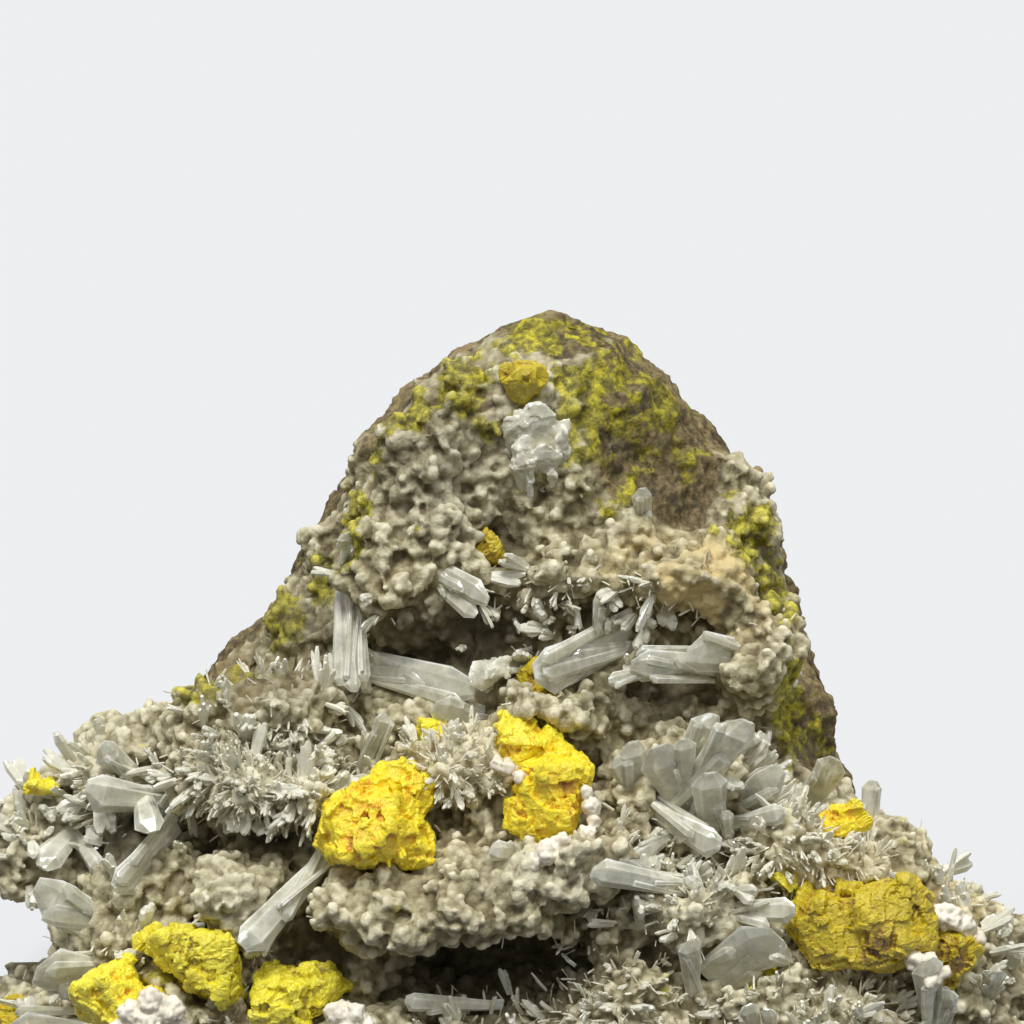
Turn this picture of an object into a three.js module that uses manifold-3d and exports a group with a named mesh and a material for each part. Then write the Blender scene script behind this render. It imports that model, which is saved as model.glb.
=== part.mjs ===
// Native sulfur with celestine on limestone matrix, in millimetres, +Z up, the front facing -Y.
import * as THREE from 'three';
import { ImprovedNoise } from 'three/addons/math/ImprovedNoise.js';
import { mergeVertices } from 'three/addons/utils/BufferGeometryUtils.js';
import Module from 'manifold-3d';

const wasm = await Module();
wasm.setup();
const noise = new ImprovedNoise();

// ---------------------------------------------------------------- driving dimensions
const SEAT_GAP = 0.3; // clearance round every crystal in its socket
const BASE_Z = 0; // height of the sawn flat
const ROCK_AROUND = 24; // corners round the rock body
const ROCK_ROWS = 18; // rows of corners up the rock body
const ROCK_SQUARENESS = 0.82; // 1 is an oval plan, less is squarer
const COARSE_RELIEF = 1.5; // height of the broad relief on the rock
const COARSE_PITCH = 9;
const FINE_RELIEF = 0.5; // height of the close relief on the rock
const FINE_PITCH = 3.6;
const LUMP_RELIEF = 0.16; // relief on a knob or ledge, as a share of its size
const LUMP_PITCH = 0.75;
const LUMP_FACETS = 1; // how finely knobs, ledges and hollows are faceted
const SULFUR_RELIEF = 0.13; // etching on a sulfur crystal, as a share of its size
const SULFUR_PITCH = 0.8;
const SULFUR_CORNERS = 6; // higher is blockier
const FINE_ABOVE = 4.7; // half size over which a sulfur block has the finer facets
const CROWN_WIDTH = 0.42; // width left at the crown of a celestine crystal, as a share of its width
const CROWN_THICKNESS = 0.35; // thickness left there, as a share of its thickness

// Plan of the rock at each height: z, left, right, front, back.
const ROCK_LEVELS = [
  [90.6, 3, 9, -1, 5],
  [88.6, -1.5, 11.5, -3.6, 9],
  [86.5, -3.5, 15, -5.5, 12],
  [83.5, -7, 19, -7, 15],
  [78.5, -12.6, 22.5, -8, 18],
  [73, -17.2, 27, -8.5, 21],
  [67.5, -19, 30.5, -9, 24],
  [62, -21, 32, -10, 26],
  [57, -25.6, 33.5, -11, 28],
  [51.5, -31, 36, -12.5, 30],
  [46, -35, 38.8, -15, 31],
  [41, -38, 39.8, -19, 32],
  [36, -41, 39.8, -22, 33],
  [31, -43, 43, -24, 33],
  [26, -44, 49, -25, 33],
  [17, -46, 51, -27, 33],
  [8, -47, 51, -28, 32],
  [0, -46, 50, -27, 31],
  [-4, -44, 48, -25, 29],
];

// Ledges, knobs and limbs that stand out of the rock: centre, half size, turn about X, Y and Z.
const RISES = [
  { at: [-42, -6, 37.6], half: [10.5, 11, 7.6], turn: [0, -24, 10] }, // left limb, root
  { at: [-52.6, -7, 30.8], half: [9, 9, 5], turn: [0, -20, 0] }, // left limb, end
  { at: [-49, -9, 8], half: [11, 17, 9.4], turn: [0, 0, 0] }, // left foot
  { at: [-40, -17, 25], half: [8, 7.5, 11], turn: [0, 20, 0] },
  { at: [47.6, -9, 15.6], half: [11.4, 15, 12.6], turn: [0, 0, 12] }, // right foot
  { at: [43, -10, 29], half: [8.5, 8, 5], turn: [0, 30, 0] },
  { at: [-27, -14, 46], half: [10, 7, 6.5], turn: [0, -24, 0] }, // left slope
  { at: [-26, -18, 41], half: [11, 7, 4.2], turn: [10, 8, 0] }, // drusy ledge on the left
  { at: [-28.5, -24, 30], half: [5.4, 6, 4.6], turn: [0, 10, 0] }, // knobby boss
  { at: [-12, -25.5, 29.6], half: [9, 7.6, 4.6], turn: [14, -8, 0] }, // shelf, left end
  { at: [-2.5, -27, 30.4], half: [9, 7, 5], turn: [10, -10, 0] }, // shelf, middle
  { at: [6.5, -26, 33], half: [9, 7, 4], turn: [6, -22, 0] }, // shelf, right end
  { at: [-2, -18.5, 42], half: [9, 6, 5.4], turn: [0, 12, 0] }, // mound behind the sulfur
  { at: [6, -16, 47.4], half: [7, 6, 3.4], turn: [0, 0, 10] },
  { at: [20, -18, 39], half: [9, 6, 8], turn: [0, 0, 0] }, // wall under the fan
  { at: [21, -24, 27.6], half: [9, 6.4, 4.2], turn: [0, 10, 0] }, // bright crust under the fan
  { at: [34, -21, 33], half: [8.4, 6, 4.6], turn: [0, 16, 10] }, // druse over the large sulfur
  { at: [35, -24, 15.6], half: [14, 8.4, 9], turn: [0, 8, 0] }, // lower right mass
  { at: [14.5, -25, 17], half: [9, 7, 6.4], turn: [0, 20, 0] }, // knobs beside the hollow
  { at: [-14, -25, 12], half: [16, 7.6, 6.6], turn: [0, -6, 0] }, // floor of the hollow
  { at: [-33, -24, 15.6], half: [9, 7, 8], turn: [0, 0, 14] },
  { at: [-9.6, -9, 62], half: [8, 5.8, 9.4], turn: [0, 10, 0] }, // crust column on the upper face
  { at: [-8, -7, 74], half: [6, 5, 7.4], turn: [0, 20, 0] },
  { at: [9, -9.4, 62.4], half: [8, 5, 3.6], turn: [0, -8, 0] },
  { at: [22, -10.6, 61.4], half: [8.6, 5.4, 4], turn: [0, 22, 0] }, // tan crust arch
  { at: [29, -11, 53], half: [6, 5.5, 6], turn: [0, 0, 0] },
];

// Hollows in the front: centre, half size, turn about X, Y and Z.
const HOLLOWS = [
  { at: [-1, -31, 20.6], half: [14, 14, 5.2], turn: [0, -8, 0] }, // under the shelf
  { at: [-24, -26, 35], half: [6.4, 7, 2.8], turn: [0, 0, 0] }, // under the drusy ledge
  { at: [-40.5, -26, 33.5], half: [3.6, 8, 4.2], turn: [0, 20, 0] }, // in the left limb
  { at: [-3, -16, 54.8], half: [8, 6, 3], turn: [0, 6, 0] }, // under the upper ledge
  { at: [17, -18, 49.6], half: [7.4, 5, 2.8], turn: [0, 0, 0] }, // under the long blades
  { at: [0, -12, 66], half: [3.6, 4.4, 3.6], turn: [0, 0, 0] }, // round the small upper sulfur
  { at: [-55.4, -12, 21], half: [8.4, 26, 4.6], turn: [0, -6, 0] }, // open notch below the left limb
];

// Flat breaks round the back: the way each faces, and its distance from the middle of the rock.
const BREAKS = [
  { facing: [0.05, 1, 0.3], distance: 30 },
  { facing: [-0.62, 0.7, 0.34], distance: 36.4 },
  { facing: [0.7, 0.62, 0.3], distance: 37.6 },
  { facing: [-0.24, 0.72, 0.66], distance: 36.6 },
  { facing: [0.4, 0.66, 0.62], distance: 38.4 },
  { facing: [-0.34, 0.9, -0.34], distance: 33.6 },
  { facing: [0.46, 0.86, -0.26], distance: 35.4 },
  { facing: [0.12, 0.5, 0.86], distance: 46.4 },
];
const BREAK_CENTRE = [2, 2, 38];

// Sulfur crystals: each is one or more blocks grown into one another: centre, half size, turn.
const SULFUR = {
  centre: [
    { at: [5.6, -24.5, 40.4], half: [4.2, 4.4, 5.2], turn: 12 },
  ],
  behind_centre: [{ at: [3, -20.4, 45.4], half: [3.8, 3.2, 2.4], turn: 30 }],
  left_group: [
    { at: [-14, -26.5, 37.4], half: [5.3, 4.6, 4.4], turn: -14 },
    { at: [-10.4, -24, 40.8], half: [3.4, 3.4, 2.8], turn: 35 },
    { at: [-10.2, -26.6, 36], half: [3.4, 3.6, 3.2], turn: 8 },
  ],
  large_right: [
    { at: [37, -28, 27], half: [5, 4.4, 4.2], turn: 10 },
    { at: [42, -28.6, 27.4], half: [4.6, 4.6, 4.8], turn: -24 },
  ],
  right_end: [{ at: [48.2, -25.5, 22.6], half: [2.8, 3.2, 4.1], turn: 20 }],
  upper_right: [{ at: [36.8, -21, 36.6], half: [3.8, 2.6, 1.9], turn: -20 }],
  lower_left: [
    { at: [-31, -28.5, 22.4], half: [3.9, 4, 4.6], turn: 15 },
    { at: [-35, -27, 24.6], half: [3.4, 3.4, 2.6], turn: -20 },
  ],
  lower_left_orange: [
    { at: [-41.8, -28, 19], half: [3.9, 3.8, 3.6], turn: -10 },
    { at: [-38, -28.6, 17], half: [3, 3.2, 3], turn: 25 },
  ],
  lower_middle: [
    { at: [-23, -28, 18.4], half: [3.8, 4, 3.9], turn: 18 },
    { at: [-19, -27, 19.8], half: [2.8, 3.2, 2.6], turn: -25 },
  ],
  peak: [{ at: [2.8, -7.6, 83.4], half: [2.1, 2.2, 1.8], turn: 10 }],
  upper_hollow: [{ at: [-1.4, -9.6, 64.8], half: [2, 2.2, 2.1], turn: 40 }],
  left_shoulder: [{ at: [-51, -13.5, 39], half: [1.6, 2.2, 1.4], turn: 15 }],
  behind_mound: [{ at: [-7.6, -17.6, 45.4], half: [1.6, 2, 2.4], turn: 20 }],
  under_plate: [{ at: [4.6, -14.2, 50.8], half: [1.9, 2.4, 2.9], turn: -30 }],
  left_corner: [{ at: [-54.6, -17, 13.4], half: [2.4, 3, 2.6], turn: 10 }],
  behind_broad_plate: [{ at: [28.6, -26.5, 22.6], half: [2.2, 2.4, 2.8], turn: 30 }],
  small_right: [{ at: [30.6, -25, 31.6], half: [1.2, 1.6, 1.2], turn: 5 }],
};

// Celestine crystals: root point, tip point, width, thickness, roll about the length; a longer tip is more pointed.
const CELESTINE = {
  fan: [
    { from: [16, -18, 35], to: [14.2, -23, 46], wide: 3, thick: 1.8, roll: 12, tip: 0.6 },
    { from: [22, -19, 36], to: [17.2, -25.5, 46.2], wide: 5, thick: 2, roll: -8, tip: 1.6 },
    { from: [18.4, -19, 36], to: [26.4, -27, 49.4], wide: 3.8, thick: 3, roll: 14, tip: 1.6 },
    { from: [18, -18, 37], to: [22.8, -24.6, 49.6], wide: 2.8, thick: 2, roll: 8, tip: 1.4 },
    { from: [23.4, -20, 34], to: [22.6, -27, 43.6], wide: 3.4, thick: 2.2, roll: 4, tip: 1.2 },
    { from: [16.5, -21, 38], to: [23.8, -28.5, 35.6], wide: 3, thick: 2, roll: 10, tip: 1 },
    { from: [23, -18, 34.6], to: [31, -23.4, 42.8], wide: 3.4, thick: 1.4, roll: -10, tip: 3 },
  ],
  long_blades: [
    { from: [33.4, -9, 51.8], to: [20.6, -17, 55], wide: 4.8, thick: 1.8, roll: 4, tip: 1.8 },
    { from: [24, -12, 52.4], to: [14.4, -19, 53.6], wide: 3.2, thick: 1.8, roll: -6, tip: 2 },
    { from: [18, -15, 52.6], to: [12, -20.4, 52.2], wide: 1.5, thick: 1.2, roll: 10, tip: 0.8 },
  ],
  middle_plate: [
    { from: [14.6, -9, 55.4], to: [4, -19, 52.2], wide: 4.6, thick: 1.5, roll: -8, tip: 1.2 },
    { from: [12, -9, 58], to: [10.4, -16, 58.6], wide: 4.4, thick: 1.6, roll: 20, tip: 1 },
  ],
  upper_pair: [
    { from: [-8.6, -10, 64], to: [-1, -18, 60.8], wide: 2.4, thick: 1.4, roll: 8, tip: 2 },
    { from: [-8.6, -10, 62.4], to: [-2.4, -17, 58.8], wide: 1.7, thick: 1.2, roll: -10, tip: 1.2 },
  ],
  hanging_bundle: [
    { from: [-17.6, -9.6, 60], to: [-17.4, -15.4, 50.6], wide: 1.5, thick: 1.2, roll: 14, tip: 0.7 },
    { from: [-16.5, -9.6, 60], to: [-16, -15.8, 50], wide: 1.6, thick: 1.2, roll: -8, tip: 0.7 },
    { from: [-15.4, -9.6, 60], to: [-14.8, -15, 51], wide: 1.4, thick: 1.2, roll: 4, tip: 0.6 },
  ],
  left_blade: [{ from: [-16, -8.6, 52.4], to: [-2.6, -16.4, 49.8], wide: 3.9, thick: 1.5, roll: 0, tip: 3.4 }],
  centre_left_block: [
    { from: [3.4, -10, 52.6], to: [-3.2, -17.6, 51.8], wide: 3, thick: 1.8, roll: 12, tip: 0.8 },
  ],
  leaning_slab: [{ from: [0.4, -11.6, 44.8], to: [-7, -18.4, 49], wide: 3, thick: 1.4, roll: 4, tip: 1.4 }],
  druse_pair: [
    { from: [-15.6, -14.6, 39], to: [-12.2, -18.8, 48.2], wide: 1.6, thick: 1.3, roll: 10, tip: 0.8 },
  ],
  druse_single: [{ from: [-9.8, -14, 39.6], to: [-9.9, -18.6, 46.8], wide: 1.6, thick: 1.3, roll: 0, tip: 0.8 }],
  shelf_end_prism: [{ from: [-18, -21.6, 33.6], to: [-27.2, -31.4, 25.4], wide: 3.1, thick: 2.5, roll: 6, tip: 1.2 }],
  limb_block: [
    { from: [-36.6, -14.6, 37.4], to: [-44.8, -21.6, 40.2], wide: 3.6, thick: 3, roll: 10, tip: 1.4 },
    { from: [-39.4, -15, 39], to: [-37.6, -23, 36], wide: 2.8, thick: 2.2, roll: -16, tip: 0.8 },
    { from: [-39.6, -13, 39.6], to: [-43.6, -18.4, 44.4], wide: 2.6, thick: 2, roll: 14, tip: 0.7 },
  ],
  limb_end_block: [
    { from: [-46.6, -12, 34], to: [-50.2, -19.2, 31.2], wide: 3.1, thick: 2.8, roll: 30, tip: 0.5 },
    { from: [-47.6, -12.4, 34], to: [-43.6, -19, 30.8], wide: 1.8, thick: 1.5, roll: 0, tip: 1 },
  ],
  curved_plate: [{ from: [-35.4, -16.6, 35.4], to: [-41.4, -24.4, 29.8], wide: 3.2, thick: 1.3, roll: -20, tip: 0.9 }],
  notch_plate: [{ from: [-40, -18.6, 23.2], to: [-50.6, -22.6, 29.4], wide: 4, thick: 1.7, roll: 8, tip: 2.6 }],
  broad_left_plate: [{ from: [-43, -21, 19.8], to: [-50, -26, 21.6], wide: 4.4, thick: 1.7, roll: -6, tip: 1.6 }],
  left_corner_slab: [{ from: [-44.6, -21, 12.8], to: [-53.8, -26.4, 14.6], wide: 4.4, thick: 2, roll: -12, tip: 1.6 }],
  shelf_stub: [{ from: [3.6, -24.6, 33.8], to: [-0.8, -31, 36.2], wide: 2, thick: 1.6, roll: 14, tip: 0.6 }],
  shelf_prism: [{ from: [22.4, -24.6, 29.8], to: [10, -33.6, 34.6], wide: 2.6, thick: 2, roll: 6, tip: 1.4 }],
  cross_bar: [{ from: [22.6, -25, 27.8], to: [31.8, -30.6, 29.4], wide: 2.4, thick: 1.8, roll: -12, tip: 0.6 }],
  broad_plate: [{ from: [22.4, -25.6, 20.8], to: [30, -31.6, 26.8], wide: 5.4, thick: 1.3, roll: 10, tip: 2 }],
  upright_prism: [{ from: [21.2, -26, 17.6], to: [20.4, -32.6, 26.6], wide: 2.3, thick: 1.9, roll: 20, tip: 0.9 }],
  lower_twins: [
    { from: [28.4, -26.6, 12.6], to: [26.6, -34.4, 20], wide: 1.9, thick: 1.5, roll: 10, tip: 1 },
    { from: [29.8, -26.6, 12.6], to: [28.8, -34, 19.4], wide: 1.5, thick: 1.2, roll: -14, tip: 0.8 },
  ],
  hollow_bar: [{ from: [0.4, -24, 16.8], to: [-10, -31, 19.4], wide: 1.8, thick: 1.5, roll: 0, tip: 0.7 }],
  right_prism: [
    { from: [47.6, -24, 13.4], to: [45.6, -33.6, 24.8], wide: 3, thick: 2.3, roll: 12, tip: 1.6 },
    { from: [48.6, -24, 13.8], to: [48.2, -31.6, 20.8], wide: 2, thick: 1.5, roll: -14, tip: 1 },
  ],
  right_end_prism: [{ from: [53.2, -20.6, 16], to: [54, -27.6, 21.8], wide: 2, thick: 1.6, roll: 10, tip: 1.2 }],
  slope_prism: [{ from: [34.4, -13, 36.4], to: [36.8, -18.6, 43.2], wide: 2.9, thick: 1.6, roll: -10, tip: 1.2 }],
  skyline_prism: [{ from: [41, -9.4, 32.6], to: [41.6, -10.4, 38.8], wide: 1.9, thick: 1.6, roll: 0, tip: 0.5 }],
  peak_block: [
    { from: [4.4, -4, 73], to: [3.8, -10.6, 80.6], wide: 5.4, thick: 3.4, roll: 8, tip: 1.4 },
  ],
  rim_block: [{ from: [-16.4, -6.6, 61.6], to: [-16.8, -13.4, 67.4], wide: 2.2, thick: 1.8, roll: 14, tip: 0.7 }],
  upper_spike: [{ from: [16.4, -6.6, 66], to: [15.6, -11, 71.8], wide: 1.9, thick: 1.4, roll: 0, tip: 1.2 }],
};

// ---------------------------------------------------------------- surfaces to solids
function toSolid(geometry) {
  geometry.deleteAttribute('normal');
  geometry.deleteAttribute('uv');
  const merged = mergeVertices(geometry, 1e-4);
  const corners = merged.index.array;
  const kept = [];
  for (let i = 0; i < corners.length; i += 3) {
    const [a, b, c] = corners.subarray(i, i + 3);
    if (a !== b && b !== c && a !== c) kept.push(a, b, c);
  }
  const vertProperties = new Float32Array(merged.attributes.position.array);
  const triVerts = new Uint32Array(kept);
  return new wasm.Manifold(new wasm.Mesh({ numProp: 3, vertProperties, triVerts }));
}

function toGeometry(solid) {
  const mesh = solid.getMesh();
  const geometry = new THREE.BufferGeometry();
  geometry.setAttribute('position', new THREE.BufferAttribute(mesh.vertProperties, mesh.numProp));
  geometry.setIndex(new THREE.BufferAttribute(mesh.triVerts, 1));
  return geometry;
}

function union(solids) {
  return solids.reduce((whole, solid) => whole.add(solid));
}

function largestBody(solid) {
  return solid.decompose().reduce((best, body) => (body.volume() > best.volume() ? body : best));
}

function reshape(geometry, move) {
  const position = geometry.attributes.position;
  const point = new THREE.Vector3();
  for (let i = 0; i < position.count; i += 1) {
    point.fromBufferAttribute(position, i);
    move(point, i);
    position.setXYZ(i, point.x, point.y, point.z);
  }
  return geometry;
}

// ---------------------------------------------------------------- rock
function levelAt(z) {
  const below = ROCK_LEVELS.findIndex((level) => level[0] <= z);
  if (below <= 0) return ROCK_LEVELS[below === 0 ? 0 : ROCK_LEVELS.length - 1];
  const [high, low] = [ROCK_LEVELS[below - 1], ROCK_LEVELS[below]];
  const share = (z - low[0]) / (high[0] - low[0]);
  return low.map((value, i) => THREE.MathUtils.lerp(value, high[i], share));
}

function squared(value) {
  return Math.sign(value) * Math.abs(value) ** ROCK_SQUARENESS;
}

function relief(point, pitch) {
  return noise.noise(point.x / pitch + 11.3, point.y / pitch + 4.7, point.z / pitch + 7.9);
}

function rockBody() {
  const top = ROCK_LEVELS[0][0];
  const bottom = ROCK_LEVELS.at(-1)[0];
  const ball = new THREE.SphereGeometry(1, ROCK_AROUND, ROCK_ROWS).rotateX(Math.PI / 2);
  return reshape(ball, (point) => {
    const share = Math.acos(THREE.MathUtils.clamp(point.z, -1, 1)) / Math.PI;
    const around = Math.hypot(point.x, point.y);
    const z = THREE.MathUtils.lerp(top, bottom, share);
    const [, left, right, front, back] = levelAt(z);
    const middleY = (front + back) / 2;
    const [dx, dy] = around > 1e-6 ? [point.x / around, point.y / around] : [0, 0];
    const reach = around > 1e-6 ? 1 : 0;
    point.x = (left + right) / 2 + (reach * squared(dx) * (right - left)) / 2;
    point.y = middleY + (reach * squared(dy) * (back - front)) / 2;
    point.z = z;
    const swell = COARSE_RELIEF * relief(point, COARSE_PITCH) + FINE_RELIEF * relief(point, FINE_PITCH);
    point.x += swell * dx * 1.4;
    point.y += swell * dy * 1.4;
  });
}

function lump({ at, half, turn }) {
  const ball = new THREE.IcosahedronGeometry(1, LUMP_FACETS);
  const seed = at[0] * 0.37 + at[2] * 0.53;
  reshape(ball, (point) => {
    const p = point.clone().divideScalar(LUMP_PITCH);
    point.multiplyScalar(1 + LUMP_RELIEF * 2 * noise.noise(p.x + seed, p.y - seed, p.z + 3.1));
  });
  const [aboutX, aboutY, aboutZ] = turn.map(THREE.MathUtils.degToRad);
  ball.scale(...half).rotateX(aboutX).rotateY(aboutY).rotateZ(aboutZ);
  return ball.translate(...at);
}

function flatBreak({ facing, distance }) {
  const reach = 120;
  const away = new THREE.Vector3(...facing).normalize();
  const turned = new THREE.Quaternion().setFromUnitVectors(new THREE.Vector3(0, 0, 1), away);
  const block = new THREE.BoxGeometry(2 * reach, 2 * reach, reach).applyQuaternion(turned);
  const centre = new THREE.Vector3(...BREAK_CENTRE).addScaledVector(away, distance + reach / 2);
  return block.translate(centre.x, centre.y, centre.z);
}

// ---------------------------------------------------------------- crystals
function sulfurBlock({ at, half, turn }, grow) {
  const ball = new THREE.OctahedronGeometry(1, Math.max(...half) > FINE_ABOVE ? 2 : 1);
  const seed = at[0] * 0.71 + at[2] * 0.29;
  reshape(ball, (point) => {
    const { x, y, z } = point;
    const box = (Math.abs(x) ** SULFUR_CORNERS + Math.abs(y) ** SULFUR_CORNERS + Math.abs(z) ** SULFUR_CORNERS);
    const p = point.clone().divideScalar(SULFUR_PITCH);
    const etched = 1 + SULFUR_RELIEF * 2 * noise.noise(p.x + seed, p.y + 5.2, p.z - seed);
    point.multiplyScalar((0.5 / box ** (1 / SULFUR_CORNERS) + 0.5) * etched);
  });
  ball.scale(...half.map((value) => value + grow));
  ball.rotateY(THREE.MathUtils.degToRad(turn)).rotateX(THREE.MathUtils.degToRad(turn * 0.6));
  return ball.translate(...at);
}

function sulfurCrystal(blocks, grow) {
  return union(blocks.map((block) => toSolid(sulfurBlock(block, grow))));
}

function bladeOutline(half, crown, length, tip) {
  const outline = new THREE.Shape();
  outline.moveTo(-half, 0);
  outline.lineTo(half, 0);
  outline.lineTo(half, length - tip);
  outline.lineTo(crown, length);
  outline.lineTo(-crown, length);
  outline.lineTo(-half, length - tip);
  outline.closePath();
  return outline;
}

function growthFrame(from, to, roll) {
  const root = new THREE.Vector3(...from);
  const along = new THREE.Vector3(...to).sub(root).normalize();
  const across = new THREE.Vector3(0, -1, 0).cross(along).normalize().negate();
  across.applyAxisAngle(along, THREE.MathUtils.degToRad(roll));
  const face = new THREE.Vector3().crossVectors(across, along);
  return new THREE.Matrix4().makeBasis(across, along, face).setPosition(root);
}

function celestineBlade({ from, to, wide, thick, roll, tip }, grow) {
  const length = new THREE.Vector3(...to).distanceTo(new THREE.Vector3(...from)) + grow;
  const half = wide / 2;
  const depth = thick + 2 * grow;
  const outline = bladeOutline(half + grow, half * CROWN_WIDTH + grow, length, tip);
  const blade = new THREE.ExtrudeGeometry(outline, { depth, bevelEnabled: false }).translate(0, 0, -depth / 2);
  const crownHalf = (thick * CROWN_THICKNESS) / 2 + grow;
  reshape(blade, (point) => {
    if (point.y > length - 1e-3) point.z = Math.sign(point.z) * crownHalf;
  });
  return blade.applyMatrix4(growthFrame(from, to, roll));
}

function celestineCrystal(blades, grow) {
  return union(blades.map((blade) => toSolid(celestineBlade(blade, grow))));
}

// ---------------------------------------------------------------- assembly
const LIMESTONE = { color: 0xa39d82, roughness: 0.9, metalness: 0 };
const SULFUR_YELLOW = { color: 0xd9b72e, roughness: 0.6, metalness: 0 };
const CELESTINE_CLEAR = { color: 0xdfe3dc, roughness: 0.12, metalness: 0 };

const crystals = [
  ...Object.entries(SULFUR).map(([name, blocks]) => ({
    name: `sulfur_${name}`,
    finish: SULFUR_YELLOW,
    shape: (grow) => sulfurCrystal(blocks, grow),
  })),
  ...Object.entries(CELESTINE).map(([name, blades]) => ({
    name: `celestine_${name}`,
    finish: CELESTINE_CLEAR,
    shape: (grow) => celestineCrystal(blades, grow),
  })),
];

function seatCrystals() {
  const seated = [];
  for (const crystal of crystals) {
    const neighbours = seated.map((other) => other.socket);
    const grown = neighbours.reduce((whole, socket) => whole.subtract(socket), crystal.shape(0));
    seated.push({ ...crystal, solid: largestBody(grown), socket: crystal.shape(SEAT_GAP) });
  }
  return seated;
}

function matrixSolid(seated) {
  const rises = RISES.map((rise) => toSolid(lump(rise)));
  const hollows = HOLLOWS.map((hollow) => toSolid(lump(hollow)));
  const floor = toSolid(new THREE.BoxGeometry(300, 300, 60).translate(0, 0, BASE_Z - 30));
  const breaks = BREAKS.map((one) => toSolid(flatBreak(one)));
  const core = breaks.reduce((whole, one) => whole.subtract(one), toSolid(rockBody()));
  const rock = union([core, ...rises]);
  const carved = hollows.reduce((whole, hollow) => whole.subtract(hollow), rock);
  const seats = seated.reduce((whole, crystal) => whole.subtract(crystal.socket), carved);
  return largestBody(seats.subtract(floor));
}

function named(name, solid, finish) {
  const mesh = new THREE.Mesh(toGeometry(solid), new THREE.MeshStandardMaterial(finish));
  mesh.name = name;
  return mesh;
}

const seated = seatCrystals();
const specimen = new THREE.Group();
specimen.name = 'native_sulfur_specimen';
specimen.add(named('limestone_matrix', matrixSolid(seated), LIMESTONE));
for (const { name, solid, finish } of seated) specimen.add(named(name, solid, finish));

const size = new THREE.Box3().setFromObject(specimen);
specimen.position.set(-(size.min.x + size.max.x) / 2, -(size.min.y + size.max.y) / 2, -size.min.z);

export default specimen;
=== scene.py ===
"""Native sulfur with celestine on limestone: the looks of the specimen.

Lengths are in metres, or in millimetres where a docstring says so. The crystals face -Y, and +Z is up.
"""

import logging
import math
from collections.abc import Sequence
from dataclasses import dataclass, field
from enum import Enum

import bpy
import numpy as np
from mathutils import Euler, Quaternion, Vector
from mathutils import Matrix as Matrix4
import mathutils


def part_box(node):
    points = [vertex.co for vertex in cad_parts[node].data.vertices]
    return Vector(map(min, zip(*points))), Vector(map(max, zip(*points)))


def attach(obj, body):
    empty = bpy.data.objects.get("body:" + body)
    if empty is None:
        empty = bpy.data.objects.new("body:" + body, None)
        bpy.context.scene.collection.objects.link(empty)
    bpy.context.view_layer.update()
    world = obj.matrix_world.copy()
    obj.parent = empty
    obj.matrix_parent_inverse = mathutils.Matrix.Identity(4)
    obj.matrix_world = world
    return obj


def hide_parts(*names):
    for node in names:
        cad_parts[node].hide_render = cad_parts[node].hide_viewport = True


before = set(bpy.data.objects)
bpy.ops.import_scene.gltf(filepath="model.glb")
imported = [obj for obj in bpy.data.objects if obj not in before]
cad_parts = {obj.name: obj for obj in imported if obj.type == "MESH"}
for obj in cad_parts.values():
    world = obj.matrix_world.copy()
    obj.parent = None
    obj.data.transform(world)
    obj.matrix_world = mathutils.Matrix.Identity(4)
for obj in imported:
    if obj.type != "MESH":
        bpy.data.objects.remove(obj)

LOG = logging.getLogger("specimen")
MM = 0.001
SQUARE_MM = MM * MM
MATRIX_NODE = "limestone_matrix"
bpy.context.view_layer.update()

Colour = tuple[float, float, float]
Triple = tuple[float, float, float]


# ---------------------------------------------------------------- node graphs
class Value:
    """One output in a node graph, which arithmetic can be written on."""

    def __init__(self, graph: "Graph", socket: bpy.types.NodeSocket) -> None:
        """Wrap a socket.

        Args:
            graph: The graph the socket is in.
            socket: The output to wrap.
        """
        self.graph = graph
        self.socket = socket

    def _maths(self, operation: str, first: "Value | float", second: "Value | float") -> "Value":
        """Add one Math node.

        Args:
            operation: The Math node's operation.
            first: Its first input.
            second: Its second input.

        Returns:
            The node's result.
        """
        return self.graph.add("ShaderNodeMath", {"operation": operation}, {0: first, 1: second})

    def __add__(self, other: "Value | float") -> "Value":
        """Return self + other."""
        return self._maths("ADD", self, other)

    def __radd__(self, other: float) -> "Value":
        """Return other + self."""
        return self._maths("ADD", other, self)

    def __sub__(self, other: "Value | float") -> "Value":
        """Return self - other."""
        return self._maths("SUBTRACT", self, other)

    def __rsub__(self, other: float) -> "Value":
        """Return other - self."""
        return self._maths("SUBTRACT", other, self)

    def __mul__(self, other: "Value | float") -> "Value":
        """Return self * other."""
        return self._maths("MULTIPLY", self, other)

    def __rmul__(self, other: float) -> "Value":
        """Return other * self."""
        return self._maths("MULTIPLY", other, self)

    def above(self, low: float, high: float) -> "Value":
        """Fade smoothly from 0 at low to 1 at high.

        Args:
            low: Value that gives 0.
            high: Value that gives 1.

        Returns:
            The faded value.
        """
        ends = {"Value": self, "From Min": low, "From Max": high}
        return self.graph.add("ShaderNodeMapRange", {"interpolation_type": "SMOOTHSTEP"}, ends)


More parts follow.
